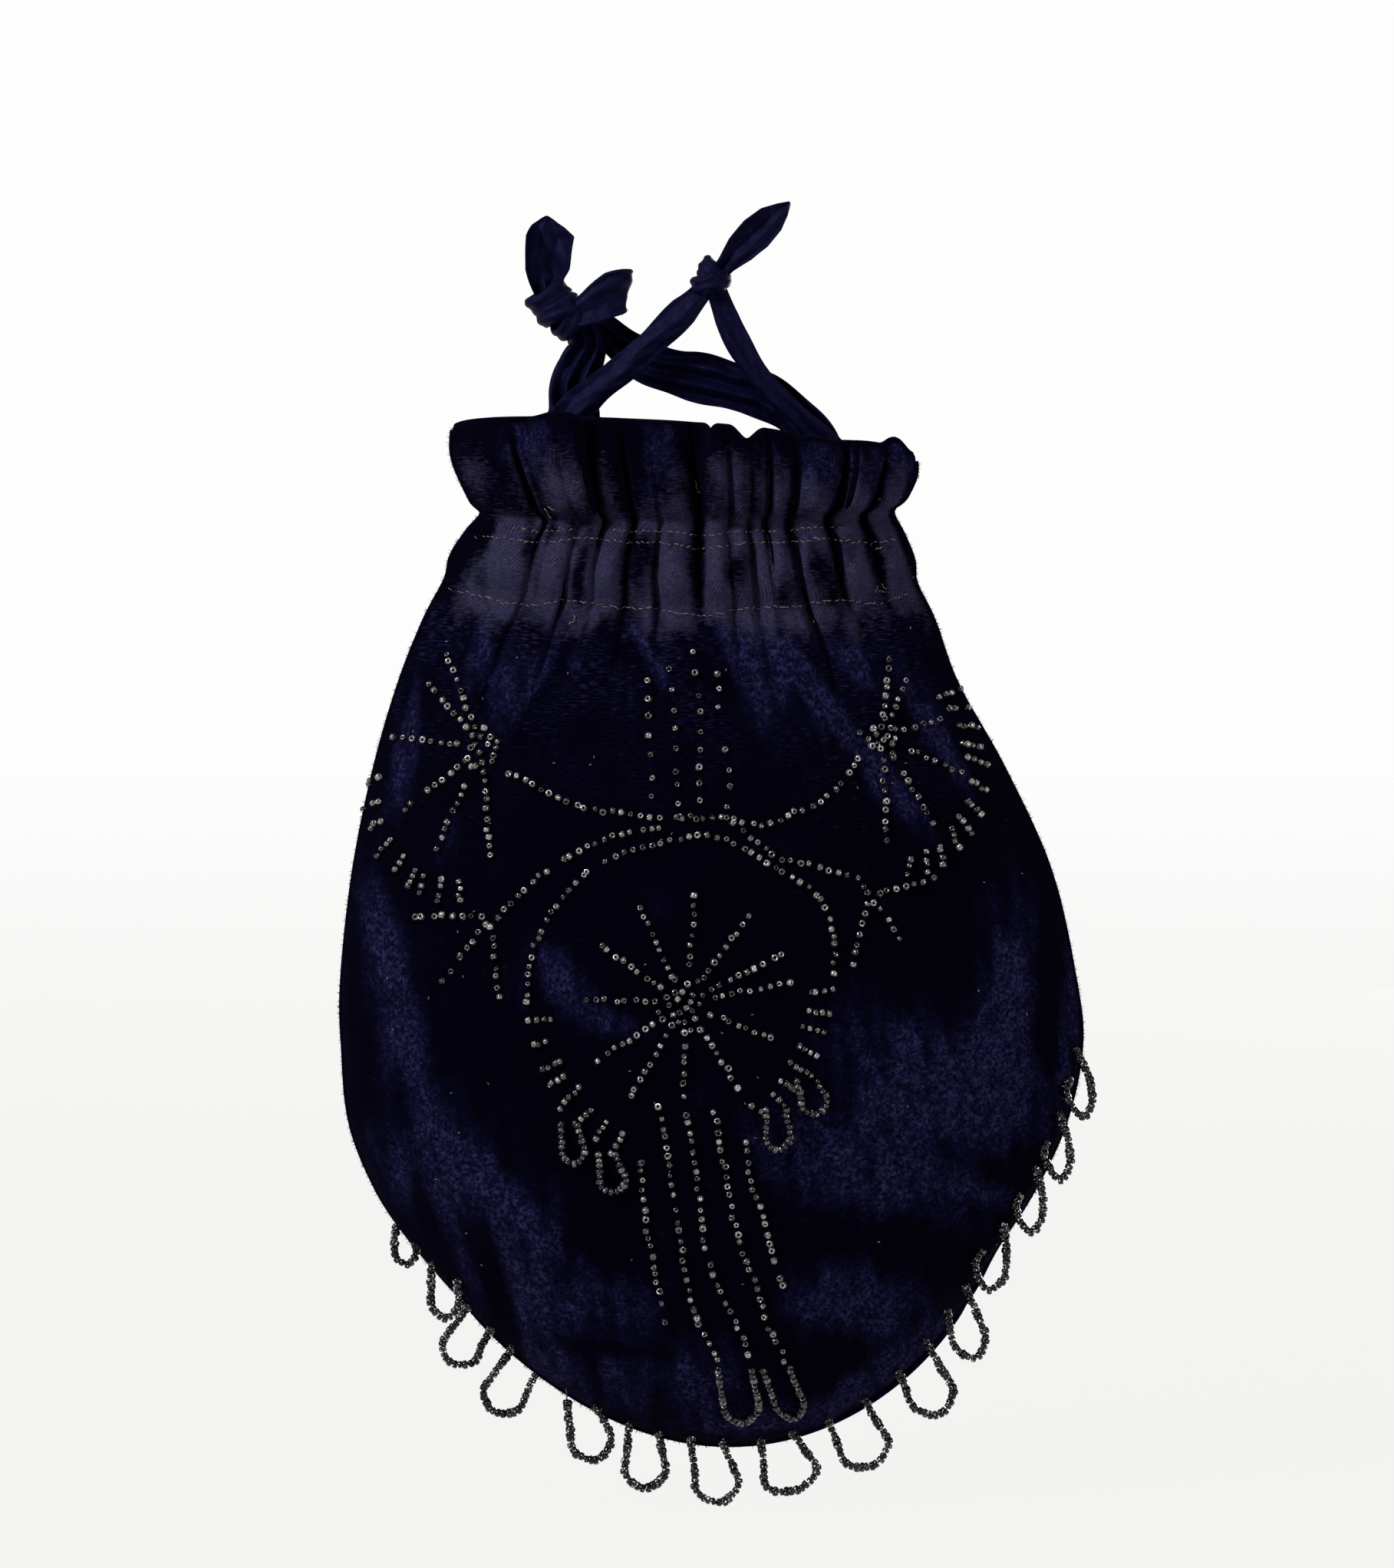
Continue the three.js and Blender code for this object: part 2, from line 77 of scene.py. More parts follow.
camera = add_object("camera", bpy.data.cameras.new("camera"))
camera.data.sensor_width = SENSOR_MM
camera.data.lens = SENSOR_MM * CAMERA_DISTANCE * PIXELS_PER_MM / PHOTO_TALL
camera.location = EYE * MM
camera.rotation_euler = (math.pi / 2 - CAMERA_RISE, 0, 0)
bpy.context.scene.camera = camera
print("lens in mm:", round(camera.data.lens, 1))

# %% [markdown]
# ## Helpers for surfaces
# Every piece is a grid of points. A tube or band is a closed profile carried along a
# path; a whole batch of paths can be swept at once, because numpy works on all of
# them together. The sign of the enclosed volume tells whether the faces look out.


# %% Mesh helpers
def unit(vectors):
    """Each vector divided by its own length."""
    return vectors / np.maximum(np.linalg.norm(vectors, axis=-1, keepdims=True), 1e-9)


def ring_grid(rows, around):
    """Quads of a tube: point (i, j) joins (i, j+1), (i+1, j+1), (i+1, j), with j closed
    on itself. Each end is closed by quads that join point j to its mirror point."""
    i, j = np.meshgrid(np.arange(rows - 1), np.arange(around), indexing="ij")
    k = (j + 1) % around
    side = np.stack([i * around + j, i * around + k, (i + 1) * around + k, (i + 1) * around + j], -1)
    j = np.arange(around // 2 - 1)
    cap = np.stack([j, around - 1 - j, around - 2 - j, j + 1], -1)
    return np.concatenate([side.reshape(-1, 4), cap, cap[:, ::-1] + (rows - 1) * around])


def torus_grid(rows, columns):
    """Quads of a grid closed on itself both ways."""
    i, j = np.meshgrid(np.arange(rows), np.arange(columns), indexing="ij")
    n, k = (i + 1) % rows, (j + 1) % columns
    quads = np.stack([i * columns + j, i * columns + k, n * columns + k, n * columns + j], -1)
    return quads.reshape(-1, 4)


def batch(faces, copies, points_each):
    """The same faces for every copy, each copy's indices raised by its own points."""
    steps = np.arange(copies)[:, None, None] * points_each
    return (faces[None] + steps).reshape(-1, faces.shape[1])


def enclosed(points, faces):
    """Volume by the divergence rule: a sixth of the sum of v0.(v1 x v2) over the two
    triangles of every quad."""
    first, second, third, fourth = (points[faces[:, k]] for k in range(4))
    crossed = np.cross(second, third) + np.cross(third, fourth)
    return np.einsum("ij,ij->", first, crossed) / 6


def make_piece(name, points, faces, material, values=None):
    """A mesh object from points in mm. values holds named numbers or vectors for each point."""
    points = points.reshape(-1, 3) * MM
    if enclosed(points - points.mean(0), faces) < 0:
        faces = faces[:, ::-1]
    mesh = bpy.data.meshes.new(name)
    mesh.vertices.add(len(points))
    mesh.vertices.foreach_set("co", points.ravel())
    mesh.loops.add(faces.size)
    mesh.loops.foreach_set("vertex_index", faces.ravel().astype(np.int32))
    mesh.polygons.add(len(faces))
    mesh.polygons.foreach_set("loop_start", np.arange(0, faces.size, faces.shape[1], dtype=np.int32))
    mesh.update(calc_edges=True)
    mesh.polygons.foreach_set("use_smooth", np.ones(len(faces), bool))
    for key, numbers in (values or {}).items():
        numbers = np.asarray(numbers, np.float32).ravel()
        kind, part = ("FLOAT", "value") if numbers.size == len(points) else ("FLOAT_VECTOR", "vector")
        mesh.attributes.new(key, kind, "POINT").data.foreach_set(part, numbers)
    mesh.materials.append(material)
    made = add_object(name, mesh)
    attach(made, "root")
    print(f"{name}: {len(points)} points, {len(faces)} faces")
    return made


def walked_along(path):
    """Distance walked from the path's start to each of its points."""
    return np.append(0, np.cumsum(np.linalg.norm(np.diff(path, axis=0), axis=1)))


def path_length(path):
    """Distance walked from end to end."""
    return float(walked_along(path)[-1])


def read_at(at, walked, values):
    """Each column of the values, read off at given distances along a path."""
    return np.stack([np.interp(at, walked, column) for column in values.T], 1)


def smooth_path(points, count):
    """A curve through the points whose slope at each is that of its neighbours (cubic
    Hermite pieces), walked in equal steps."""
    points = np.asarray(points, float)
    reach = walked_along(points)
    slope = np.gradient(points, reach, axis=0)
    at = np.linspace(0, reach[-1], 40 * len(points))
    i = np.clip(np.searchsorted(reach, at, side="right") - 1, 0, len(reach) - 2)
    span = (reach[i + 1] - reach[i])[:, None]
    t = (at - reach[i])[:, None] / span
    fine = (
        (2 * t**3 - 3 * t**2 + 1) * points[i]
        + (t**3 - 2 * t**2 + t) * span * slope[i]
        + (3 * t**2 - 2 * t**3) * points[i + 1]
        + (t**3 - t**2) * span * slope[i + 1]
    )
    walked = walked_along(fine)
    return read_at(np.linspace(0, walked[-1], count), walked, fine)


def square_to(vectors, axis):
    """Unit vectors: what is left of each when its part along the axis is taken away."""
    return unit(vectors - np.sum(vectors * axis, -1, keepdims=True) * axis)


def sweep(path, facing, offsets):
    """point = path + side * offset 0 + face * offset 1, where face is the facing
    direction made square to the path and side is square to both."""
    ahead = unit(np.gradient(path, axis=-2))
    face = square_to(np.broadcast_to(facing, path.shape), ahead)
    side = np.cross(ahead, face)
    return (
        path[..., None, :]
        + side[..., None, :] * offsets[..., 0:1]
        + face[..., None, :] * offsets[..., 1:2]
    )


def round_profile(around, radius):
    """A circle of the given radius (a number, or one for each step of the path)."""
    turn = 2 * np.pi * (np.arange(around) + 0.5) / around
    return np.asarray(radius)[..., None, None] * np.stack([np.cos(turn), np.sin(turn)], -1)


THREAD_SIDES = 6


def thread_piece(name, paths, facing, radius, finish):
    """A batch of round threads, swept along paths that have the same number of points."""
    count, steps = paths.shape[:2]
    points = sweep(paths, facing, round_profile(THREAD_SIDES, radius))
    faces = batch(ring_grid(steps, THREAD_SIDES), count, steps * THREAD_SIDES)
    return make_piece(name, points, faces, finish)


def ripple(x, z, reach, seed):
    """Soft random relief from about -1 to 1: the mean of seven plane waves, each of
    about the given length in mm, in seeded directions."""
    draw = np.random.default_rng(int(seed * 10))
    turn = draw.uniform(0, 2 * np.pi, 7)
    length = reach * draw.uniform(0.7, 1.6, 7)
    phase = draw.uniform(0, 2 * np.pi, 7)
    waves = [
        np.sin(2 * np.pi * (x * np.cos(a) + z * np.sin(a)) / b + c)
        for a, b, c in zip(turn, length, phase)
    ]
    return np.mean(waves, axis=0) * 1.7


def hump(distance):
    """cos squared of a quarter turn: 1 in the middle, 0 from a distance of 1 on."""
    return np.where(np.abs(distance) < 1, np.cos(np.pi * distance / 2) ** 2, 0.0)


def smooth_step(value, start, end):
    """0 before start, 1 after end, 3t^2 - 2t^3 between them."""
    t = np.clip((value - start) / (end - start), 0, 1)
    return t * t * (3 - 2 * t)


# %% [markdown]
# ## Finishes
# The velvet is midnight blue and nearly black. An indigo sheen is painted into its pile in
# patches, with painted shade in some creases, and on the gathers it is rubbed down to the
# diagonal ground weave; that rubbed ground is real wear in part and painted light in part,
# lighter on the ridge tops than in the valleys. Ribbons are matte silk crepe, beads are smoky
# glass with a metal gleam and painted glints, and the sewing thread has faded to a pale brown.
# Grain and weave are node groups that several finishes share; a plain colour would look like plastic.


# %% Node helpers
def plug(tree, value, socket):
    """A link from another node's output, or a constant straight on the socket."""
    if isinstance(value, bpy.types.NodeSocket):
        tree.links.new(value, socket)
    else:
        socket.default_value = value


def set_inputs(tree, node, **inputs):
    """Constants or links on a node's own sockets. An input called at_N is the N-th one."""
    for key, value in inputs.items():
        name = int(key[3:]) if key.startswith("at_") else key.replace("_", " ")
        plug(tree, value, node.inputs[name])


def add_node(tree, kind, settings=None, **inputs):
    """A new node with its settings and inputs."""
    made = tree.nodes.new(kind)
    for key, value in (settings or {}).items():
        setattr(made, key, value)
    set_inputs(tree, made, **inputs)
    return made


def blend_colours(tree, share, first, second):
    """first where share is 0, second where it is 1."""
    settings = {"data_type": "RGBA"}
    return add_node(tree, "ShaderNodeMix", settings, at_0=share, at_6=first, at_7=second).outputs[2]


def stretch(tree, value, low, high, to_low=0.0, to_high=1.0):
    """The value carried from low..high to to_low..to_high and kept there."""
    ends = dict(at_1=low, at_2=high, at_3=to_low, at_4=to_high)
    return add_node(tree, "ShaderNodeMapRange", at_0=value, **ends).outputs[0]


def calculate(tree, operation, first, second):
    """One arithmetic step."""
    settings = {"operation": operation}
    return add_node(tree, "ShaderNodeMath", settings, at_0=first, at_1=second).outputs[0]


def object_place(tree):
    """Where the point is in the object's own metres."""
    return add_node(tree, "ShaderNodeTexCoord").outputs["Object"]


def noise(tree, place, scale, detail, **inputs):
    """Soft noise from 0 to 1 with the given number of waves per unit."""
    settings = dict(Vector=place, Scale=scale, Detail=detail)
    return add_node(tree, "ShaderNodeTexNoise", **settings, **inputs).outputs[0]


def read_values(tree, name, output="Fac"):
    """A piece's own numbers or vectors, by the name that make_piece gave them."""
    return add_node(tree, "ShaderNodeAttribute", {"attribute_name": name}).outputs[output]


def new_group(name, inputs, output):
    """A shader node group with named number inputs and one number output."""
    tree = bpy.data.node_groups.new(name, "ShaderNodeTree")
    for key, value in inputs.items():
        socket = tree.interface.new_socket(key, in_out="INPUT", socket_type="NodeSocketFloat")
        socket.default_value = value
    tree.interface.new_socket(output, in_out="OUTPUT", socket_type="NodeSocketFloat")
    return tree, tree.nodes.new("NodeGroupInput").outputs, tree.nodes.new("NodeGroupOutput").inputs


def place_group(tree, group, **inputs):
    """The group as one node of a material."""
    return add_node(tree, "ShaderNodeGroup", {"node_tree": group}, **inputs).outputs[0]


def new_material(name):
    """An empty material with a Principled shader."""
    made = bpy.data.materials.new(name)
    made.use_nodes = True
    return made, made.node_tree, made.node_tree.nodes["Principled BSDF"]


def add_bump(tree, shader, height, distance, strength):
    """Height in the shader's normal."""
    facts = dict(Height=height, Distance=distance, Strength=strength)
    bump = add_node(tree, "ShaderNodeBump", **facts)
    plug(tree, bump.outputs["Normal"], shader.inputs["Normal"])


# %% Shared groups: fibre grain, twill weave and pile rows
GRAIN, grain_in, grain_out = new_group("fibre_grain", {"Fineness": 1200.0, "Clumping": 260.0}, "Grain")
fibres = noise(GRAIN, object_place(GRAIN), grain_in["Fineness"], 3.0, Roughness=0.7)
clumps = noise(GRAIN, object_place(GRAIN), grain_in["Clumping"], 2.0)
plug(GRAIN, stretch(GRAIN, calculate(GRAIN, "ADD", fibres, clumps), 0.72, 1.28), grain_out[0])

TWILL, twill_in, twill_out = new_group("twill_weave", {"Ribs per mm": 0.95, "Slubs": 0.8}, "Weave")
woven_at = read_values(TWILL, "woven_at", "Vector")
warp = add_node(TWILL, "ShaderNodeSeparateXYZ", Vector=woven_at).outputs
slubs = noise(TWILL, woven_at, twill_in["Slubs"], 3.0)
slanted = calculate(TWILL, "ADD", warp["X"], warp["Y"])
ribs = calculate(TWILL, "MULTIPLY", slanted, twill_in["Ribs per mm"])
ribs = calculate(TWILL, "PINGPONG", calculate(TWILL, "ADD", ribs, slubs), 0.5)
rib_light = stretch(TWILL, ribs, 0.0, 0.5, 0.35, 1.0)
thin_spots = stretch(TWILL, slubs, 0.3, 0.7, 0.45, 1.0)
plug(TWILL, calculate(TWILL, "MULTIPLY", rib_light, thin_spots), twill_out[0])

ROWS, rows_in, rows_out = new_group("pile_rows", {"Along": 380.0, "Down": 2000.0}, "Rows")
parts = add_node(ROWS, "ShaderNodeSeparateXYZ", Vector=object_place(ROWS)).outputs
row_along = calculate(ROWS, "MULTIPLY", parts["X"], rows_in["Along"])
row_down = calculate(ROWS, "MULTIPLY", parts["Z"], rows_in["Down"])
drawn_out = add_node(ROWS, "ShaderNodeCombineXYZ", X=row_along, Z=row_down).outputs[0]
plug(ROWS, stretch(ROWS, noise(ROWS, drawn_out, 1.0, 4.0), 0.47, 0.72), rows_out[0])
print("node groups:", [group.name for group in bpy.data.node_groups])

# %% Velvet
PILE_SHADE = (0.0004, 0.0003, 0.0026, 1)
PILE_LIT = (0.0098, 0.0088, 0.042, 1)
PILE_TIP_HIGHLIGHT = (0.018, 0.0172, 0.052, 1)
GROUND_SHADE = (0.0026, 0.0022, 0.0095, 1)
GROUND_LIT = (0.036, 0.0335, 0.072, 1)

velvet, tree, shader = new_material("midnight_velvet")
grain = place_group(tree, GRAIN, Fineness=2300.0, Clumping=900.0)
ragged = place_group(tree, GRAIN, Fineness=520.0, Clumping=170.0)
tufts = place_group(tree, GRAIN, Fineness=1050.0, Clumping=420.0)
rows, weave = place_group(tree, ROWS), place_group(tree, TWILL)
painted_sheen, wear_and_ridge_light, thin = [read_values(tree, name) for name in ("painted_sheen", "wear_and_ridge_light", "thin")]
# the pile: painted sheen where the sheen patches lie, paler where its rows are thinned, and a painted
# highlight on the brightest sheen
ragged_sheen_edge = calculate(tree, "ADD", painted_sheen, stretch(tree, ragged, 0.0, 1.0, -0.07, 0.07))
fibre_light = stretch(tree, grain, 0.15, 0.9, 0.1, 1.0)
tuft_light = stretch(tree, tufts, 0.2, 0.8, 0.5, 1.1)
pile_grain = calculate(tree, "MULTIPLY", fibre_light, tuft_light)
painted_sheen_grain = calculate(tree, "MULTIPLY", stretch(tree, ragged_sheen_edge, 0.1, 1.0), pile_grain)
lit_pile = calculate(tree, "MAXIMUM", painted_sheen_grain, calculate(tree, "MULTIPLY", thin, rows))
pile_colour = blend_colours(tree, lit_pile, PILE_SHADE, PILE_LIT)
# painted highlight: the brightest painted sheen turns a pale grey-blue, as pile tips that catch the light
pile_colour = blend_colours(tree, stretch(tree, painted_sheen_grain, 0.4, 1.2), pile_colour, PILE_TIP_HIGHLIGHT)
# the bare ground weave, with a torn edge to the pile; the rubbed share is real wear in part and painted
# light in part, lighter on ridge tops than in the valleys
ground_colour = blend_colours(tree, weave, GROUND_SHADE, GROUND_LIT)
ragged_share = calculate(tree, "MULTIPLY", ragged, 0.3)
row_share = calculate(tree, "MULTIPLY", rows, 0.4)
torn_rows = calculate(tree, "ADD", ragged_share, row_share)
rubbed_and_ridge_lit = stretch(tree, calculate(tree, "ADD", wear_and_ridge_light, torn_rows), 0.5, 1.15)
relief = calculate(tree, "ADD", grain, calculate(tree, "MULTIPLY", weave, rubbed_and_ridge_lit))
add_bump(tree, shader, relief, 0.0005, 0.7)
set_inputs(
    tree,
    shader,
    Base_Color=blend_colours(tree, rubbed_and_ridge_lit, pile_colour, ground_colour),
    Roughness=0.95,
    Specular_IOR_Level=0.008,
    Sheen_Weight=0.012,
    Sheen_Roughness=0.35,
    Sheen_Tint=(0.35, 0.34, 0.85, 1),
)

# %% Silk crepe
SILK_SHADE = (0.0006, 0.0005, 0.0038, 1)
SILK_LIT = (0.0025, 0.0021, 0.0146, 1)

silk, tree, shader = new_material("silk_crepe")
crepe = place_group(tree, GRAIN, Fineness=2600.0, Clumping=900.0)
add_bump(tree, shader, crepe, 0.00015, 0.5)
set_inputs(
    tree,
    shader,
    Base_Color=blend_colours(tree, crepe, SILK_SHADE, SILK_LIT),
    Roughness=stretch(tree, crepe, 0.0, 1.0, 0.55, 0.4),
    Specular_IOR_Level=0.07,
    Specular_Tint=(0.35, 0.35, 1.0, 1),
    Sheen_Weight=0.01,
    Sheen_Roughness=0.4,
    Sheen_Tint=(0.35, 0.35, 0.9, 1),
)


# %% Glass beads and thread
def bead_finish(name, dark, pale, metal, gloss, glint):
    """Smoky glass: each bead has its own tone between dark and pale, a thin cloud, and small
    pale flecks of painted glint, set into the base colour by the cloud and not by any lamp."""
    made, tree, shader = new_material(name)
    cloud = noise(tree, object_place(tree), 1600.0, 2.0)
    clouded = stretch(tree, cloud, 0.3, 0.65, 0.45, 1.0)
    share = calculate(tree, "MULTIPLY", read_values(tree, "tone"), clouded)
    body = blend_colours(tree, share, dark, pale)
    painted_glint = stretch(tree, cloud, 0.63, 0.69)
    set_inputs(
        tree,
        shader,
        Base_Color=blend_colours(tree, painted_glint, body, (glint, glint, glint, 1)),
        Roughness=stretch(tree, cloud, 0.35, 0.7, 0.05, 0.2),
        Metallic=metal,
        Specular_IOR_Level=gloss,
        Coat_Weight=0.5 * gloss,
        Coat_Roughness=0.04,
    )
    return made


SMOKE, JET = (0.004, 0.004, 0.006, 1), (0.0008, 0.0008, 0.0014, 1)
face_glass = bead_finish("smoky_glass_face", SMOKE, (0.30, 0.290, 0.278, 1), 0.6, 0.7, 0.7)
drop_glass = bead_finish("smoky_glass_drop", SMOKE, (0.10, 0.098, 0.098, 1), 0.4, 0.45, 0.5)
fringe_glass = bead_finish("smoky_glass_fringe", JET, (0.020, 0.017, 0.023, 1), 0.05, 0.20, 0.7)


def thread_finish(name, dark, pale, roughness, relief=0.0):
    """Spun thread: its fibres lie between a dark and a pale tone, and may be raised."""
    made, tree, shader = new_material(name)
    strands = place_group(tree, GRAIN, Fineness=2600.0, Clumping=700.0)
    colour = blend_colours(tree, strands, dark, pale)
    set_inputs(tree, shader, Base_Color=colour, Roughness=roughness, Specular_IOR_Level=0.2)
    if relief:
        add_bump(tree, shader, strands, 0.0002, relief)
    return made


FADED, FADED_PALE = (0.040, 0.034, 0.028, 1), (0.15, 0.136, 0.124, 1)
STRING, STRING_PALE = (0.006, 0.005, 0.008, 1), (0.05, 0.045, 0.05, 1)
thread = thread_finish("faded_thread", FADED, FADED_PALE, 0.8, relief=0.6)
dark_thread = thread_finish("dark_bead_thread", STRING, STRING_PALE, 0.75)
print("finishes:", [made.name for made in (velvet, silk, face_glass, drop_glass, fringe_glass, thread)])

# %% [markdown]
# ## The ribbons
# Two silk ribbons run in the casing and come out of the neck as four strands. Each
# strand is a fixed length of flat ribbon, pulled taut from the neck to its knot and
# crushed into lengthwise pleats. A curve with a bevel could only give a flat tape, so
# the cross-section is a pleated profile that changes along the path.

# %% Pleated ribbon
RIBBON_CLOTH = 0.45


def pleat_height(across, along, pleats, depth, seed):
    """Height of the cloth over its path: arcsin of a sine wave, which makes sharp
    pleats, with a phase that wanders along the ribbon, and a small soft ripple."""
    wander = 0.9 * np.sin(0.11 * along + seed) + 0.5 * np.sin(0.29 * along + 2.1 * seed)
    wave = np.arcsin(0.96 * np.sin(np.pi * pleats * across + wander + seed)) * 2 / np.pi
    return depth * (wave + 0.35 * ripple(9 * across, along, 7, seed))


def silk_band(name, path, facing, side, front, back):
    """A closed band of silk: the profile runs over the front from one edge to the other
    and returns over the back."""
    rows, columns = side.shape
    profile = [np.stack([side, front], -1), np.stack([side, back], -1)[:, ::-1]]
    points = sweep(path, facing, np.concatenate(profile, axis=1))
    made = make_piece("silk_" + name, points, ring_grid(rows, 2 * columns), silk)
    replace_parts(made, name)
    return made


def ribbon_strand(name, route, widths, pleats, depth, seed, roll=0.0, rows=110, columns=34):
    """A strand of pleated ribbon, one cloth thick. Its width follows the widths, evenly
    spaced along it, and roll curls both edges to the back."""
    path = smooth_path(route, rows)
    along = np.linspace(0, path_length(path), rows)[:, None]
    across = np.linspace(-1, 1, columns)[None]
    share = np.linspace(0, 1, rows)
    half = np.interp(share, np.linspace(0, 1, len(widths)), widths)[:, None] / 2
    edge = 1 + 0.05 * np.sin(0.35 * along + seed)
    height = pleat_height(across, along, pleats, depth, seed) - roll * across**2
    side = half * edge * across + np.zeros_like(height)
    skins = height + RIBBON_CLOTH / 2, height - RIBBON_CLOTH / 2
    return silk_band(name, path, (0, -1, 0), side, *skins), path


STRANDS = {
    "ribbon_back_left": dict(
        route=[
            (-51.5, 1.4, -69.5), (-47.5, 1.6, -60), (-43.0, 1.8, -50), (-38.6, 1.6, -42),
            (-36.2, 1.4, -35), (-36.2, 1.4, -27.5), (-34.0, 1.8, -20.5), (-32.4, 2.0, -15),
            (-34.4, 1.8, -10), (-37.8, 1.4, -6.4),
        ],
        widths=(11.5, 11.5, 12, 13, 14.4, 15.2, 13.4, 12, 10.6, 8), pleats=3.2, depth=1.5,
        seed=3.0, roll=0.8,
    ),
    "ribbon_back_right": dict(
        route=[
            (39.5, 1.4, -65), (37.6, 1.8, -56.8), (34.8, 2, -48.2), (30.8, 2.6, -40.6),
            (24.6, 3.4, -34.2), (17, 4, -29.4), (8.5, 4.4, -26.6), (0, 4.8, -24.4), (-8, 5, -22.6),
            (-15, 5.2, -20.2), (-21, 5.4, -16.4), (-27, 5.6, -11.6), (-33, 4.6, -7.6),
            (-38, 2.6, -5.2),
        ],
        widths=(10, 10.4, 11, 12.2, 13.6, 13.6, 11.5, 9.5, 8), pleats=2.8, depth=1.5,
        seed=5.0, roll=0.6,
    ),
    "ribbon_front_left": dict(
        route=[
            (-55, -1.4, -64.5), (-51.5, -1.6, -55), (-46.5, -2, -46), (-38.5, -2.6, -36),
            (-31, -3.2, -28.6), (-22, -3.4, -21.4), (-14.5, -3, -14.6), (-7.4, -2, -7.6),
            (-1.8, -0.8, -1.8), (1.0, -0.2, 1.4),
        ],
        widths=(8, 8, 8.6, 9.6, 9.2, 8.2, 7.6, 8, 8.2, 5.2), pleats=1.2, depth=0.7,
        seed=7.0, roll=1.0,
    ),
    "ribbon_front_right": dict(
        route=[
            (44.5, -1.4, -65), (42.5, -1.8, -56.5), (39.5, -2.2, -48), (33, -2.6, -40.6),
            (25.5, -2.6, -34.2), (18.5, -2.2, -27.6), (12.6, -1.6, -20), (8, -0.8, -12),
            (4.4, -0.2, -3), (2.8, 0, 1.6),
        ],
        widths=(6, 6, 5.8, 5.6, 5.6, 6, 6.8, 7.2, 5), pleats=1.3, depth=0.7,
        seed=11.0, roll=0.9,
    ),
}
strands_made = {name: ribbon_strand(name, **facts) for name, facts in STRANDS.items()}

# %% [markdown]
# ## Knots and loose ends
# Each drawstring ends in an overhand knot, drawn tight, with the ribbon's end standing
# out of it. A knot is built as the eye sees it: a packed core with bands of ribbon
# wrapped round it at different slants. An end is a leaf that opens out of the knot's
# grip and fills with air between its folds.


# %% Knots
KNOT_ROWS, KNOT_COLUMNS = 60, 36


def knot_band(lean, pitch, long, short, width, shift_x, shift_z, seed):
    """A band wrapped round an ellipse: its axis leans in the picture and pitches to the
    front, long and short are the ellipse's radii. The cross-section is a flat oval with
    creases that run along the ribbon."""
    lean, pitch = math.radians(lean), math.radians(pitch)
    axis = np.array([math.sin(lean) * math.cos(pitch), -math.sin(pitch), math.cos(lean) * math.cos(pitch)])
    first = unit(np.cross(axis, (0, 1, 0)))
    second = np.cross(axis, first)
    turn = 2 * np.pi * np.arange(KNOT_ROWS)[:, None] / KNOT_ROWS
    out = np.cos(turn) * first * long + np.sin(turn) * second * short
    slant = 0.16 * width * np.sin(turn + seed)
    round_turn = (2 * np.pi * (np.arange(KNOT_COLUMNS) + 0.5) / KNOT_COLUMNS)[None]
    crush = 1 + 0.10 * np.sin(2 * turn + seed)
    creased = 1 + 0.20 * np.cos(5 * round_turn + 1.1 * np.sin(turn + seed) + seed)
    aside = width / 2 * crush * np.cos(round_turn)
    rise = 0.24 * width * creased * np.sin(round_turn)
    points = (
        out[:, None]
        + unit(out)[:, None] * rise[..., None]
        + axis * (aside + slant)[..., None]
        + np.array([shift_x, 0, shift_z])
    )
    return points.reshape(-1, 3)


KNOTS = {
    # each wrap: lean, pitch, long, short, width, shift to the right, shift up
    "knot_back": dict(centre=(-40.8, 0.6, -4.9), wraps=[
        (-50, 10, 4.6, 4.2, 6.4, -2.2, 2.8), (-30, -6, 5.2, 4.8, 6.2, 0.6, -0.6),
        (-64, 8, 4.4, 4.2, 5.6, 3.0, -3.4), (42, 0, 3.6, 3.4, 7.0, 0.2, -0.4),
    ]),
    "knot_front": dict(centre=(2.3, 0.0, 3.2), wraps=[
        (32, 8, 3.9, 3.5, 5.0, 0.6, 1.2), (-24, -6, 4.2, 3.9, 5.2, -0.6, -1.2),
        (62, 0, 3.0, 2.9, 6.2, 0.0, 0.2),
    ]),
}
knots_made = {}
for name, facts in KNOTS.items():
    wraps = [knot_band(*wrap, seed=k + 1.5) for k, wrap in enumerate(facts["wraps"])]
    points = np.concatenate(wraps) + np.array(facts["centre"], float)
    faces = batch(torus_grid(KNOT_ROWS, KNOT_COLUMNS), len(wraps), KNOT_ROWS * KNOT_COLUMNS)
    knots_made[name] = make_piece("silk_" + name, points, faces, silk)
    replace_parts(knots_made[name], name)


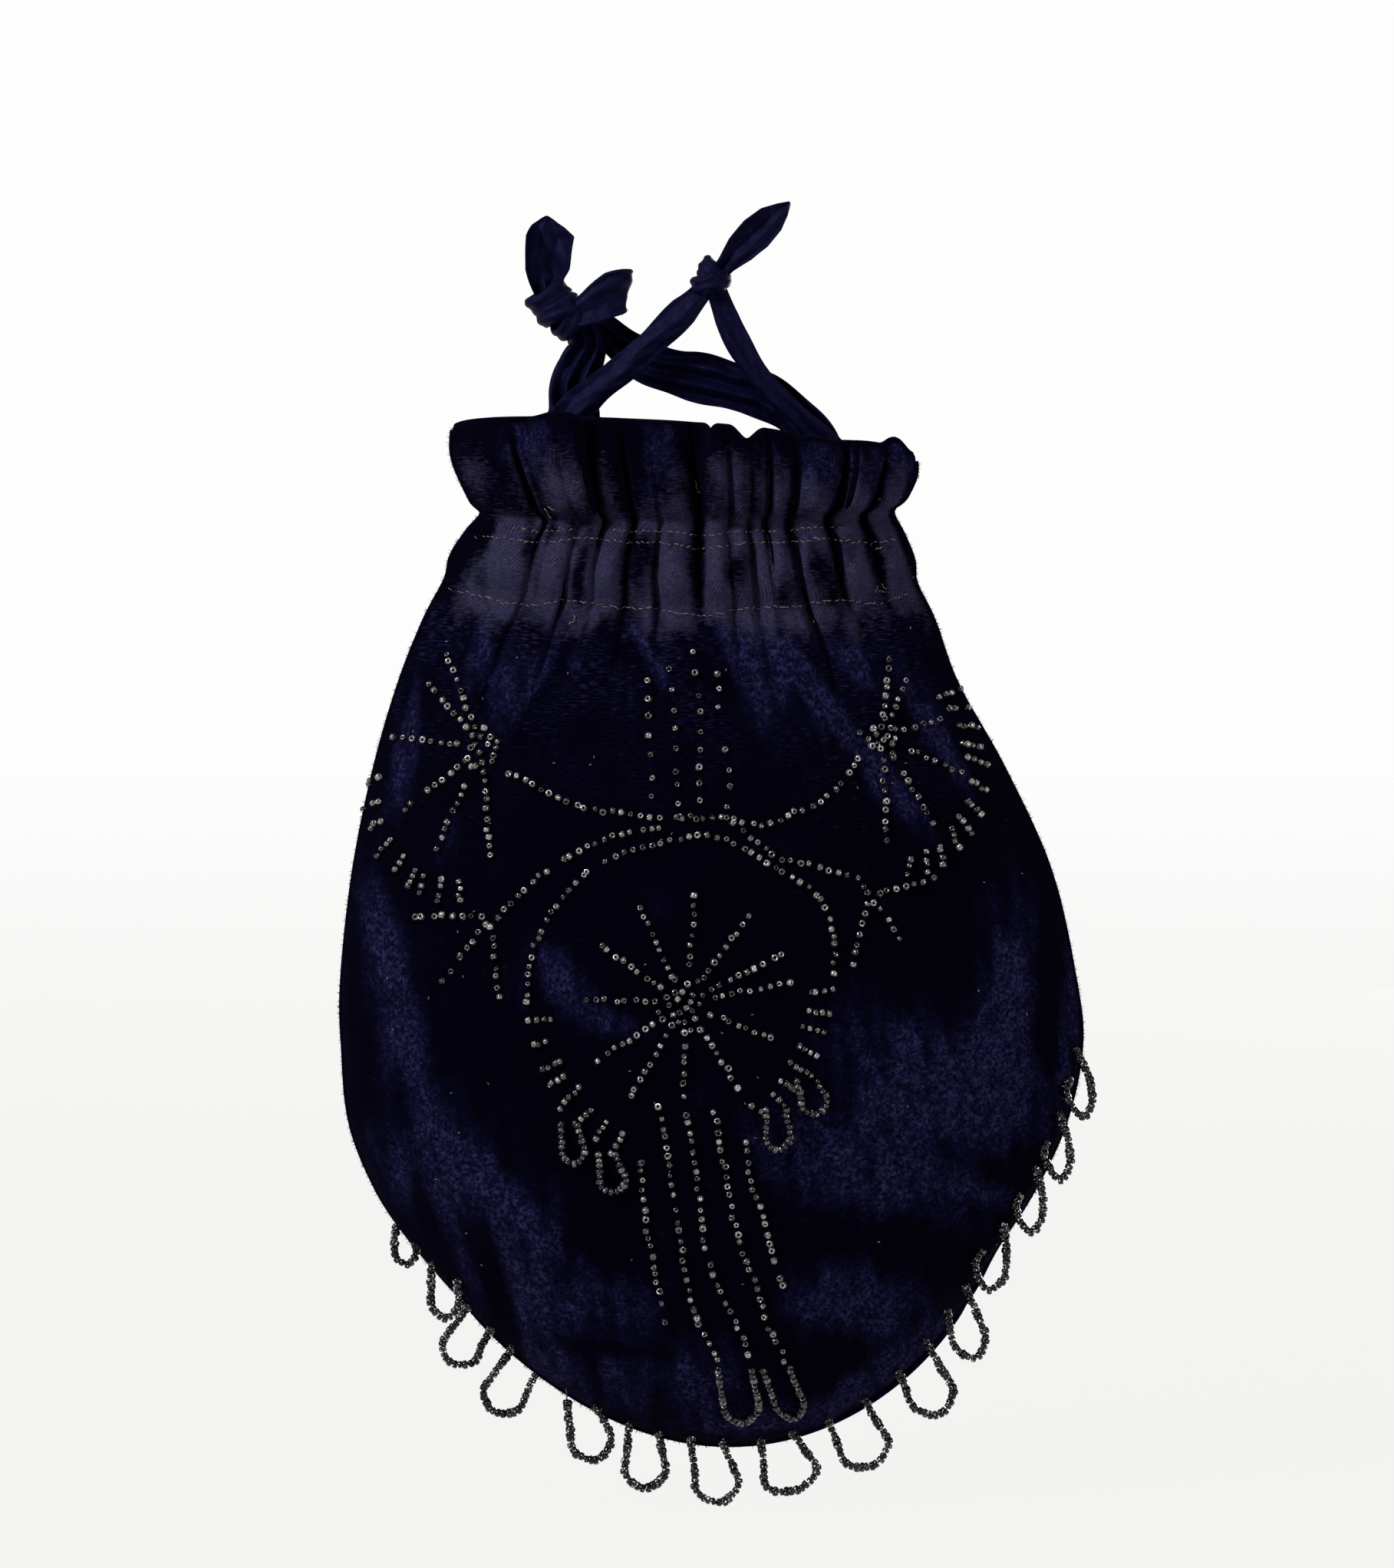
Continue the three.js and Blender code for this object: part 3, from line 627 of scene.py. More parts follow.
# %% Loose ends
LEAVES = {
    # line: the middle of the end; outline: the share of its length, the reach to the left
    # of it and to the right; fill: how far the skins part; cup: how far the sides come forward
    "end_back_up": dict(
        line=[
            (-43.0, 0.4, -2.0), (-43.8, 0.0, 3.0), (-44.0, -1.2, 9.0), (-44.0, -1.0, 15.0),
            (-43.4, 0.4, 20.2),
        ],
        outline=[
            (0, 3.4, 3.4), (0.2, 4.6, 5.2), (0.36, 5.4, 6.9), (0.55, 5.3, 7.6), (0.72, 5.0, 8.4),
            (0.86, 3.6, 5.4), (0.96, 1.5, 2.0), (1, 0.25, 0.25),
        ],
        pleats=2.0, fill=1.2, cup=4.4, seed=2.0,
    ),
    "end_back_side": dict(
        line=[
            (-41.0, -1.0, -9.0), (-36.0, -2.6, -7.2), (-31.0, -3.4, -4.8), (-26.5, -3.2, -2.2),
            (-22.8, -1.8, -0.6), (-21.4, 0.2, -0.3), (-22.6, 2.2, -0.6), (-26.0, 3.2, -1.4),
        ],
        outline=[
            (0, 3.6, 3.6), (0.2, 3.6, 3.8), (0.4, 5.0, 5.2), (0.62, 6.4, 6.0), (1, 5.6, 5.2),
        ],
        pleats=1.6, fill=0.9, cup=0.0, seed=4.0, twist=-38,
    ),
    "end_front": dict(
        line=[
            (3.2, -0.2, 3.6), (6.8, -0.4, 7.6), (11.5, -1.4, 12.6), (17.0, -1.0, 17.8),
            (23.6, 0.6, 24.0),
        ],
        outline=[
            (0, 2.2, 2.2), (0.15, 2.8, 2.6), (0.35, 4.3, 4.2), (0.55, 4.9, 4.8), (0.75, 4.2, 4.0),
            (0.9, 2.2, 2.2), (1, 0.4, 0.4),
        ],
        pleats=1.8, fill=1.0, cup=1.4, seed=6.0,
    ),
}


def loose_end(name, line, outline, pleats, fill, cup, seed, twist=0, rows=84, columns=44):
    """A folded ribbon end along its middle line. Its two sides follow the outline's
    table and come forward by the cup; front and back skins part by a lens-shaped fill,
    pleats run out of the knot and a rolled hem stands up along both edges. Where the
    line turns back, the fold's edge is twisted from square by the given degrees."""
    path = smooth_path(line, rows)
    run = path[rows // 2] - path[0]
    slope = math.atan2(run[2], run[0]) + math.radians(twist)
    level = np.array([math.cos(slope), 0, math.sin(slope)])
    facing = np.cross(np.cross(level, (0, -1, 0)), unit(np.gradient(path, axis=0)))
    share = np.linspace(0, 1, rows)[:, None]
    around = np.linspace(-1, 1, columns)[None]
    at, left, right = np.array(outline, float).T
    reach = np.where(around < 0, np.interp(share, at, left), np.interp(share, at, right))
    side = reach * around
    opened = smooth_step(share, 0.0, 0.5)
    pleat = (1 - 0.6 * opened) * np.arcsin(0.95 * np.sin(pleats * np.pi * around + seed)) * 0.8
    near_tip = 1 - smooth_step(share, 0.7, 0.95)
    hem = 0.7 * hump((np.abs(around) - 0.92) / 0.14) * opened * near_tip
    crumple = 0.6 * ripple(1.4 * side, share * path_length(path), 8, seed) * opened * near_tip
    part = (fill * (0.4 + 0.6 * np.sin(np.pi * share)) / 2) * np.sqrt(np.clip(1 - around**2, 0, 1)) + 0.2
    cupped = cup * (around**2 - 0.4) * opened * near_tip
    middle = pleat + hem + crumple + cupped
    return silk_band(name, path, facing, side, middle + part, middle - part)


ends_made = {name: loose_end(name, **facts) for name, facts in LEAVES.items()}

for name, (made, path) in strands_made.items():
    print(name, "length in mm:", round(path_length(path), 1))

# %% [markdown]
# ## The velvet panels
# The bag is a front and a back panel, sewn together round the sides and the bottom.
# The cloth is drawn up by the ribbons: a frilled heading stands over a pinched neck,
# the casing puffs out in gathers between two rows of stitches, and folds run down into
# a round, lightly filled belly. A cloth simulation could find folds of its own, but
# these folds are known ones, so each is a row of a table added to a lofted shell.

# %% Sections of the shell, from the rim down to the bottom seam
SECTION_COLUMNS = ("left", "left_z", "mid_z", "right", "right_z", "front", "back", "arch", "drift")
SECTIONS = np.array([
    (-69.6, -38.1, -37.4, 58.3, -46, 16, 14, 0.5, 0),
    (-69.5, -46.5, -46, 58.5, -51, 17, 15, 0.5, 0),
    (-64.5, -58, -60, 55.5, -57.5, 14.5, 12.5, 0.5, 0),
    (-61.5, -61.5, -64.5, 52, -61, 12.5, 11, 0.5, 0),
    (-65.5, -66.5, -70, 55, -67.5, 14.5, 13, 0.5, 0),
    (-70, -73.5, -79, 57.8, -74.5, 18.5, 16.5, 0.5, 0),
    (-71.5, -79.8, -88, 58.5, -81, 17.5, 15.5, 0.5, 0),
    (-77.4, -91.1, -99.5, 63.4, -91.1, 21, 18.5, 0.5, 0),
    (-84.5, -109, -117, 70, -109, 26, 22.5, 0.5, 0),
    (-91.3, -132.3, -140, 83, -132.3, 31, 26.5, 0.55, 0),
    (-97.2, -160.9, -169, 96, -160.9, 34.5, 29.5, 0.6, 0),
    (-100.6, -191.5, -202, 103, -191.5, 36, 31, 0.65, 0),
    (-100.4, -210, -226, 104.7, -210, 35.5, 30.5, 0.7, 0),
    (-98.3, -231.5, -256, 100.2, -231.5, 32.5, 28, 0.75, 1),
    (-90.4, -251.1, -284, 90.9, -251.1, 26.5, 23, 0.8, 2),
    (-80, -266, -305, 81, -266, 17, 15, 0.85, 3),
    (-71, -276, -317, 75.5, -276, 7.5, 6.5, 0.9, 4),
    (-66.8, -280.9, -321.3, 72.1, -280.9, 0, 0, 0.9, 4),
])
LAST = len(SECTIONS) - 1
HEADING, PINCH, CASING, CASING_FOOT, BELLY = 1, 3, 5, 6, 11
WALL = 1.6
SEAM_GAP = 0.3
BULGE = 0.7
BACK_RIM_DROP = 4
RIM_FADE = 2
FRONT, BACK = -1, 1


def section(name, down):
    """One column of the table, as a Catmull-Rom curve through its rows."""
    values = SECTIONS[:, SECTION_COLUMNS.index(name)]
    at = np.clip(down, 0, LAST - 1e-9)
    i = at.astype(int)
    t = at - i
    before, here, there = values[np.maximum(i - 1, 0)], values[i], values[i + 1]
    after = values[np.minimum(i + 2, LAST)]
    leave, arrive = (there - before) / 2, (after - here) / 2
    cubic = 2 * here - 2 * there + leave + arrive
    square = 3 * there - 3 * here - 2 * leave - arrive
    return ((cubic * t + square) * t + leave) * t + here


# %% Gathers and folds
# heading, casing and foot: where the ridge stands across the panel at those heights,
# from -1 at the left seam to 1 at the right. frill and puff: its height there in mm.
FRONT_GATHERS = [
    # heading, casing, foot, half, frill, puff, fade
    (-0.84, -0.757, -0.80, 0.150, 4.0, 5.5, 8.8),
    (-0.60, -0.543, -0.62, 0.065, 3.4, 5.5, 9.8),
    (-0.49, -0.430, -0.45, 0.065, 3.4, 5.5, 8.4),
    (-0.33, -0.323, -0.30, 0.065, 2.0, 5.5, 8.6),
    (-0.20, -0.180, -0.16, 0.050, 1.0, 3.4, 8.0),
    (-0.07, -0.030, 0.03, 0.085, 3.4, 6.0, 9.2),
    (0.14, 0.153, 0.20, 0.060, 4.0, 5.6, 8.6),
    (0.24, 0.260, 0.30, 0.050, 4.0, 4.6, 8.0),
    (0.32, 0.345, 0.40, 0.035, 2.6, 3.4, 8.0),
    (0.40, 0.430, 0.52, 0.055, 4.0, 5.4, 10.2),
    (0.57, 0.575, 0.76, 0.090, 5.5, 6.2, 9.8),
    (0.77, 0.755, 0.86, 0.065, 5.0, 5.4, 9.2),
    (0.93, 0.925, 0.95, 0.050, 3.4, 4.0, 7.8),
]
BACK_COUNT, BACK_SPAN = 9, 1.8


def even_gather(i):
    """Row i of the back's gathers, which are evenly spread and of three sizes by turns."""
    at = (i + 0.5) / BACK_COUNT * BACK_SPAN - BACK_SPAN / 2
    return at, at, at * 1.05, 0.09, 2 + i % 3, 3.0, 8 + i % 3


GATHERS = {FRONT: FRONT_GATHERS, BACK: [even_gather(i) for i in range(BACK_COUNT)]}
# Steps in the front rim: where, how wide, how high in mm.
RIM_STEPS = [
    (-0.54, 0.12, 1.4), (0.116, 0.03, -1.4), (0.27, 0.08, -3.4), (0.60, 0.30, -1.2),
    (0.92, 0.07, 2.4),
]
# Patches of the heading and casing that stay dark pile with no rubbed ground, some of them painted shade
# between ridges: across, half width, down, reach, share.
KEPT_DARK_PATCHES = [
    (-0.22, 0.24, 0.9, 2.4, 1.0),
    (-0.82, 0.16, 1.4, 1.3, 0.8),
    (0.03, 0.12, 0.8, 1.6, 0.8),
    (0.62, 0.24, 0.7, 1.2, 0.9),
    (-0.20, 0.10, 4.8, 2.2, 0.8),
    (-0.44, 0.06, 4.8, 2.0, 0.75),
    (0.06, 0.05, 4.8, 2.4, 0.8),
    (0.50, 0.06, 4.0, 1.2, 0.7),
    (0.58, 0.12, 4.7, 1.3, 0.75),
    (0.66, 0.10, 5.6, 1.2, 0.7),
    (0.83, 0.05, 4.8, 1.8, 0.65),
    (-0.92, 0.08, 4.0, 2.0, 0.7),
    (-0.30, 0.08, 6.6, 1.2, 0.7),
    (0.14, 0.06, 6.6, 1.2, 0.7),
]
# Box pleats of the heading: where, half width across, rise in mm.
BOX_PLEATS = [(-0.545, 0.103, 4.6), (0.22, 0.115, 3.0), (-0.94, 0.05, 1.5), (0.80, 0.05, 2.2)]
PLEAT_EDGE = 0.016
# Creases between the gathers: depth in mm, half width across.
CREASE_DEPTH, CREASE_HALF = 3.6, 0.028
# Long soft folds and dents of the belly: place, turn, run and half width, rise in mm.
FACE_FOLDS = [
    (-84, -195, 18, 26, 11, 1.8), (-62, -252, 46, 42, 15, 2.5), (-54, -279, 10, 24, 8, -2.2),
    (86, -200, -4, 30, 13, 1.8), (51, -234, 45, 24, 13, 1.8), (-24, -304, 55, 10, 8, -2.0),
    (39, -294, -50, 12, 9, -2.0),
]
print("gathers in front and at the back:", [len(rows) for rows in GATHERS.values()])


def ridge_line(gather, down):
    """Where a gather's ridge is across the panel, and how far it has run out to its foot."""
    heading, casing, foot, *_, fade = gather
    to_casing = np.clip((down - HEADING) / (CASING - HEADING), 0, 1)
    to_foot = np.clip((down - CASING) / (fade - CASING), 0, 1)
    line = heading + (casing - heading) * to_casing
    return line + (foot - line) * to_foot, to_casing, to_foot


def gather_lift(across, down, gathers):
    """Sum of the ridges. Each is half a round tube across the cloth, the root of a hump;
    its height goes from the frill's to the puff's, is nipped at both stitch rows and fades
    to its foot."""
    lift = 0.0
    nip = 1 - 0.45 * hump(down - PINCH) - 0.25 * hump((down - CASING_FOOT) / 0.6)
    for gather in gathers:
        line, to_casing, to_foot = ridge_line(gather, down)
        half, frill, puff = gather[3:6]
        height = (frill + (puff - frill) * to_casing) * (1 - to_foot) * nip
        ridge = hump((across - line) / (half * (1.25 + 1.2 * to_foot)))
        lift = lift + height * ridge ** (0.5 + 0.5 * to_foot)
    return lift


def rub_and_ridge_light_mask(across, down, gathers):
    """Rubbed ground from 0 to 1, real wear in part and painted light in part: from the heading to
    just below the casing it is lightest on the ridge tops and falls off down their sides, so
    the valleys between ridges and the patches kept dark stay dark pile, which is painted shade."""
    cover = kept_dark = 0.0
    for gather in gathers:
        line, _, to_foot = ridge_line(gather, down)
        top = hump((across - line) / (gather[3] * (1.75 + 1.2 * to_foot)))
        cover = np.maximum(cover, top * (1 - to_foot) ** 0.4)
    height = smooth_step(down, 0.1, 1.6) * (0.62 + 0.38 * smooth_step(down, 2.0, 3.4))
    height = height * (1 - 0.85 * smooth_step(down, 5.9, 7.2))
    for at, half, top, foot, share in KEPT_DARK_PATCHES:
        kept_dark = np.maximum(kept_dark, share * hump((across - at) / half) * hump((down - top) / foot))
    return smooth_step(cover, 0.02, 0.75) * height * (1 - kept_dark)


def pleat_lift(across, down):
    """Box pleats of the heading: flat tops with steep sides, pressed flat at the neck."""
    lift = 0.0
    for at, half, rise in BOX_PLEATS:
        top = 1 - smooth_step(np.abs(across - at), half - PLEAT_EDGE, half + PLEAT_EDGE)
        lift = lift + rise * top * (1 - smooth_step(down, 1.6, 3.0))
    return lift


def crease_lift(across, down, gathers):
    """Narrow valleys half way between neighbouring ridges, where the cloth folds in. Each
    is deep and shallow by turns, as a sine along its length."""
    lift = 0.0
    for k, (near, far) in enumerate(zip(gathers[:-1], gathers[1:])):
        near_line, _, near_foot = ridge_line(near, down)
        far_line, _, far_foot = ridge_line(far, down)
        fade = (1 - np.maximum(near_foot, far_foot)) ** 0.7 * np.clip(down - 0.3, 0, 1)
        depth = CREASE_DEPTH * fade * (0.66 + 0.34 * np.sin(2.3 * k + 0.9 * down))
        lift = lift - depth * hump((across - (near_line + far_line) / 2) / CREASE_HALF)
    return lift


def turned(x, z, middle_x, middle_z, degrees):
    """x and z measured from a middle, along axes that are turned by the degrees."""
    turn = math.radians(degrees)
    x, z = x - middle_x, z - middle_z
    return x * math.cos(turn) + z * math.sin(turn), z * math.cos(turn) - x * math.sin(turn)


def fold_lift(x, z):
    """Sum of the belly folds: a hump along the fold times a hump across it."""
    lift = 0.0
    for fold_x, fold_z, turn, run, half, rise in FACE_FOLDS:
        aside, along = turned(x, z, fold_x, fold_z, turn)
        lift = lift + rise * hump(along / run) * hump(aside / half)
    return lift


# %% The shell itself
def plan(across, down, face, inset=0.0):
    """x, z and bow of a panel's point, seen from the front. x goes straight from side to
    side, and z sags between the sides by a power of the bow, which is 1 - across^2."""
    bow = np.maximum(1 - across**2, 0)
    half = (across + 1) / 2
    left, right = section("left", down) + inset, section("right", down) - inset
    left_z, right_z = section("left_z", down), section("right_z", down)
    x = left + (right - left) * half + section("drift", down) * bow
    rim_share = np.clip(1 - down / RIM_FADE, 0, 1)
    if face == FRONT:
        rim = sum(rise * hump((across - at) / wide) for at, wide, rise in RIM_STEPS) * rim_share
    else:
        rim = -BACK_RIM_DROP * bow * rim_share
    sag = (section("mid_z", down) - (left_z + right_z) / 2) * bow ** section("arch", down)
    z = left_z + (right_z - left_z) * half + sag + rim + inset * smooth_step(down, BELLY, LAST)
    return x, z, bow


def cloth(across, down, face, inset=0.0):
    """Point of a panel in mm. across runs from seam to seam, down from rim to bottom. y
    stands out by the section's depth times the bow to the power 0.7, plus the folds."""
    across, down = np.broadcast_arrays(np.asarray(across, float), np.asarray(down, float))
    x, z, bow = plan(across, down, face, inset)
    gathers = GATHERS[face]
    folds = gather_lift(across, down, gathers) + crease_lift(across, down, gathers)
    if face == FRONT:
        folds = folds + fold_lift(x, z) + pleat_lift(across, down)
    folds = folds + small_wrinkles(x, z, down, face)
    keep = (1 - across**8) * np.clip(LAST - down, 0, 1)
    depth = np.maximum(section("front" if face == FRONT else "back", down) - inset, 0) * bow**BULGE
    y = face * (SEAM_GAP / 2 + np.maximum(depth + folds * keep, 0))
    return np.stack([x, y, z], -1)


def small_wrinkles(x, z, down, face):
    """Fine relief: short level wrinkles in the heading, upright ones on the casing and
    a faint slackness of the belly."""
    heading = 0.55 * ripple(0.45 * x, 1.5 * z, 13, 21 + face) * smooth_step(down, 0.2, 0.9)
    heading = heading * (1 - smooth_step(down, 2.5, 3.5))
    casing = 0.40 * ripple(1.5 * x, 0.5 * z, 9, 31 + face)
    casing = casing * smooth_step(down, 2.5, 3.5) * (1 - smooth_step(down, 6.5, 9))
    belly = 0.55 * ripple(x, z, 34, 41 + face) * smooth_step(down, 6, 9)
    return heading + casing + belly


def locate(x, z):
    """across and down of the front panel's point at x, z: down is halved in on, because z
    falls all the way from rim to seam."""
    low, high, across = np.zeros_like(x), np.full_like(x, LAST), np.zeros_like(x)
    for _ in range(40):
        down = (low + high) / 2
        left, right = section("left", down), section("right", down)
        moved = x - section("drift", down) * (1 - across**2)
        across = np.clip(2 * (moved - left) / (right - left) - 1, -1, 1)
        above = plan(across, down, FRONT)[1] > z
        low, high = np.where(above, down, low), np.where(above, high, down)
    return across, down


def cloth_normal(across, down, face=FRONT):
    """Outward direction of the panel: the cross product of its two slopes."""
    step = 1e-3
    along_x = cloth(across + step, down, face) - cloth(across - step, down, face)
    along_z = cloth(across, down + step, face) - cloth(across, down - step, face)
    out = unit(np.cross(along_x, along_z))
    return out * np.sign(out[..., 1:2] * face)


# %% Mesh of the two panels
# Painted sheen patches, and with negative strength painted shade in creases: place, half sizes, turn,
# strength.
SHEEN_AND_SHADE_PATCHES = [
    # left side and lower left
    (-85, -192, 4.5, 26, 15, 0.9), (-87, -188, 9, 28, 10, 0.3), (-45.7, -108, 1.6, 10, -32, 0.7),
    (-76, -240, 16, 16, 0, 0.6), (-64, -257, 11, 42, 24, 0.36), (-48, -264, 14, 28, 20, 0.34),
    (-53, -249, 3.6, 21, 45, 0.75), (-25, -277, 14, 8, 0, 0.6), (-69, -260, 6, 16, 25, -0.4),
    (-27, -291, 22, 2.5, -5, -0.4), (-68, -266, 3.5, 24, 22, 0.5), (-47, -281, 4, 18, 14, 0.5),
    (-16, -301, 30, 11, -4, 0.8), (-81.5, -135, 2.5, 10, -8, 0.5), (-71, -152, 3, 9, -15, 0.35),
    (-82, -123, 3, 20, -16, 0.6),
    # right side and lower right
    (43, -238, 28, 14, -20, 0.9), (84, -195, 9, 28, -6, 0.85), (101, -196, 3.2, 20, 0, 0.8),
    (68, -216, 32, 13, -25, 0.9), (45, -281, 22, 13, -10, 0.6), (88, -214, 16, 5, -22, 0.5),
    (56, -226, 20, 4, -18, 0.4),
    # along the lower right seam
    (44, -303, 16, 5, 28, 1.0), (16, -313, 17, 4, 5, 1.0), (36, -277, 16, 6, 10, 0.6),
    (81, -250, 10, 2.5, -28, 0.7), (69, -244, 10, 3, -30, 0.5), (85.5, -211, 3, 16, -4, 0.5),
    (62, -291, 10, 3.8, 32, 0.9),
    # middle
    (-38, -187.7, 5.5, 11, 38, 0.8), (-24, -199.6, 10, 3, -12, 0.7),
    # below the casing
    (18, -104, 7, 20, 45, 0.6), (53, -138.7, 3, 13, 41, 0.9), (36, -100, 2.5, 10, 45, 0.7),
    (-60, -103, 2.5, 11, 4, 0.6), (-44, -101, 2.2, 12, -20, 0.6), (67, -128, 2.4, 12, 33, 0.6),
    (-14.7, -100.6, 1.6, 11, 32, 0.9), (8, -93, 5, 8, 10, 0.7), (13.6, -109, 4, 12, 15, 0.6),
    (30, -110.6, 3.2, 21, 39, 1.0), (23, -100, 3, 12, 35, 0.7), (47, -133, 5, 9, 20, 0.6),
    (-54, -108, 3.6, 12, -8, 0.7), (-64, -104, 3, 12, -14, 0.5), (62, -118, 4, 16, 30, 0.7),
    (44, -104, 3, 12, 34, 0.6), (-36, -104, 2.5, 9, -20, 0.5),
    # heading
    (40, -50, 22, 9, 0, 0.8), (-46, -44, 8, 10, 0, 0.7), (-12, -46, 6, 12, 0, 0.6),
    # painted shade in the creases
    (-57, -277, 2.6, 22, 12, -0.9), (-30, -300, 3, 10, 10, -0.5), (-12, -306, 2.5, 9, 0, -0.4),
    (-78, -246, 3, 20, 16, -0.5), (60, -262, 14, 4, -30, -0.7), (33, -296, 3, 12, 8, -0.5),
    (39, -293, 4, 6, 20, -0.6), (94, -200, 4, 24, -4, -0.6), (-76.4, -115, 1.4, 10, 0, -0.8),
    (5.3, -121, 2.2, 24, 4, -0.8), (-46, -112, 1.6, 12, -12, -0.6),
]
PANEL_COLUMNS = 264
ROW_SPLIT = 7
PANEL_ROWS_ABOVE, PANEL_ROWS_BELOW = 104, 74
SIDE_CROWDING = 1.25


def painted_sheen_mask(x, z):
    """Painted sheen: soft oval patches with a ragged edge, as crushed pile shines, the negative
    ones painted shade in creases, over a faint cloudiness: their sum, disturbed by a ripple
    and then sharpened."""
    mask = 0.10 + 0.16 * ripple(x, z, 26, 51)
    for patch_x, patch_z, wide, tall, turn, strength in SHEEN_AND_SHADE_PATCHES:
        aside, along = turned(x, z, patch_x, patch_z, turn)
        distance = (aside / wide) ** 2 + (along / tall) ** 2
        mask = mask + strength * np.exp(-(distance**1.3) * 0.8)
    mask = mask * (1 + 0.40 * ripple(1.6 * x, 0.6 * z, 12, 61) + 0.25 * ripple(x, z, 5, 63))
    return 0.06 + 0.94 * smooth_step(mask, 0.10, 1.05)


def cloth_run(points, axis):
    """Length of cloth in mm from the panel's middle along one way of the grid."""
    steps = np.linalg.norm(np.diff(points, axis=axis), axis=-1)
    start = np.zeros_like(points[..., 0].take([0], axis=axis))
    run = np.concatenate([start, np.cumsum(steps, axis=axis)], axis=axis)
    return run - run.take([run.shape[axis] // 2], axis=axis)


def velvet_panel(name, face):
    """Outer skin from seam to seam and back again on the inside, ring by ring down the
    bag; the rim and the bottom seam are closed by strips."""
    down = np.concatenate([
        np.linspace(0, ROW_SPLIT, PANEL_ROWS_ABOVE),
        np.linspace(ROW_SPLIT, LAST, PANEL_ROWS_BELOW)[1:],
    ])[:, None]
    even = np.linspace(-1, 1, PANEL_COLUMNS)[None]
    across = np.sin(even * SIDE_CROWDING) / math.sin(SIDE_CROWDING)
    outer, inner = cloth(across, down, face), cloth(across, down, face, WALL)
    points = np.concatenate([outer, inner[:, ::-1]], axis=1)
    x, z = outer[..., 0], outer[..., 2]
    blotch = ripple(1.3 * x, 0.6 * z, 15, 71) + 0.5 * ripple(1.6 * x, 0.5 * z, 8, 73)
    # rubbed ground: real wear in part, painted light on the ridge tops and painted shade in the valleys in
    # part
    rub_and_ridge_light = np.clip(rub_and_ridge_light_mask(across, down, GATHERS[face]) * (1 + 0.5 * blotch), 0, 1)
    painted_sheen = painted_sheen_mask(x, z)
    dull = np.zeros_like(painted_sheen)
    threads = np.stack([cloth_run(outer, 1), cloth_run(outer, 0), dull], -1)
    below_casing = smooth_step(down, 5.6, 6.3) * (1 - smooth_step(down, 7.2, 9.6))
    thin = below_casing * np.clip(0.35 + 0.45 * ripple(x, z, 18, 81), 0, 1)
    values = {
        "wear_and_ridge_light": np.concatenate([rub_and_ridge_light, dull], axis=1),
        "thin": np.concatenate([thin, dull], axis=1),
        # painted sheen of the outer skin, kept low on the inner one
        "painted_sheen": np.concatenate([painted_sheen, dull + 0.1], axis=1),
        "woven_at": np.concatenate([threads, threads[:, ::-1]], axis=1),
    }
    faces = ring_grid(len(down), 2 * PANEL_COLUMNS)
    made = make_piece("velvet_" + name, points, faces, velvet, values)
    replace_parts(made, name)
    edges = outer[1:, :-1] - outer[:-1, :-1], outer[:-1, 1:] - outer[:-1, :-1]
    skin = np.linalg.norm(np.cross(*edges), axis=-1)
    print(name, "cloth in square metres:", round(float(skin.sum()) * MM * MM, 4))
    return made


for name, face in (("front_panel", FRONT), ("back_panel", BACK)):
    panel = velvet_panel(name, face)

# %% [markdown]
# ## Rolled rim and side seam
# The rim is turned in, so it ends in a soft roll and not in a cut edge. Round the sides
# and the bottom the seam shows as a narrow dark roll, which stands out most at the
# lower right, where the back panel comes round to the front.


# %% Rolled edges
def edge_roll(name, path, radius, facing, painted_sheen, around=10):
    """A round profile carried along an edge, with no rubbed ground and an even level of painted sheen."""
    points = sweep(path, facing, round_profile(around, radius))
    count = len(path)
    values = {"wear_and_ridge_light": np.zeros((count, around)), "painted_sheen": np.full((count, around), painted_sheen)}
    return make_piece(name, points, ring_grid(count, around), velvet, values)


RIM_POINTS, RIM_RADIUS = 240, 0.9
across = np.linspace(-0.995, 0.995, RIM_POINTS)
for name, face in (("rim_roll_front", FRONT), ("rim_roll_back", BACK)):
    rim_path = (cloth(across, 0 * across, face) + cloth(across, 0 * across, face, WALL)) / 2
    edge_roll(name, rim_path, np.full(RIM_POINTS, RIM_RADIUS), (0, 0, 1), 0.2)

SEAM_RADIUS, SEAM_FULLER = 0.75, 1.4
FULLER_X, FULLER_Z, FULLER_WIDE, FULLER_TALL = 52, -292, 36, 30
seam_down = np.linspace(0.1, LAST, 150)
left_side, right_side = [
    np.stack([section(side, seam_down), 0 * seam_down, section(side + "_z", seam_down)], -1)
    for side in ("left", "right")
]
bottom = cloth(np.linspace(-1, 1, 160), np.full(160, LAST), FRONT)
seam_path = smooth_path(np.concatenate([left_side[::3], bottom[1:-1:4], right_side[::-3]]), 520)
aside = ((seam_path[:, 0] - FULLER_X) / FULLER_WIDE) ** 2
lower_right = np.exp(-aside - ((seam_path[:, 2] - FULLER_Z) / FULLER_TALL) ** 2)
seam_path[:, 1] = 0.4 + 0.9 * lower_right
edge_roll("seam_roll", seam_path, SEAM_RADIUS + SEAM_FULLER * lower_right, (0, -1, 0), 0.3)

# %% [markdown]
# ## Seed beads
# A seed bead is a short piece of drawn glass tube with rounded ends. Hundreds are
# needed, so the bead is a ring of a few dozen faces, and one function sets a whole
# string of them at once: each bead gets a place, an axis, a size and a tone. Strung
# beads press on each other, so theirs are a little shorter along the thread.

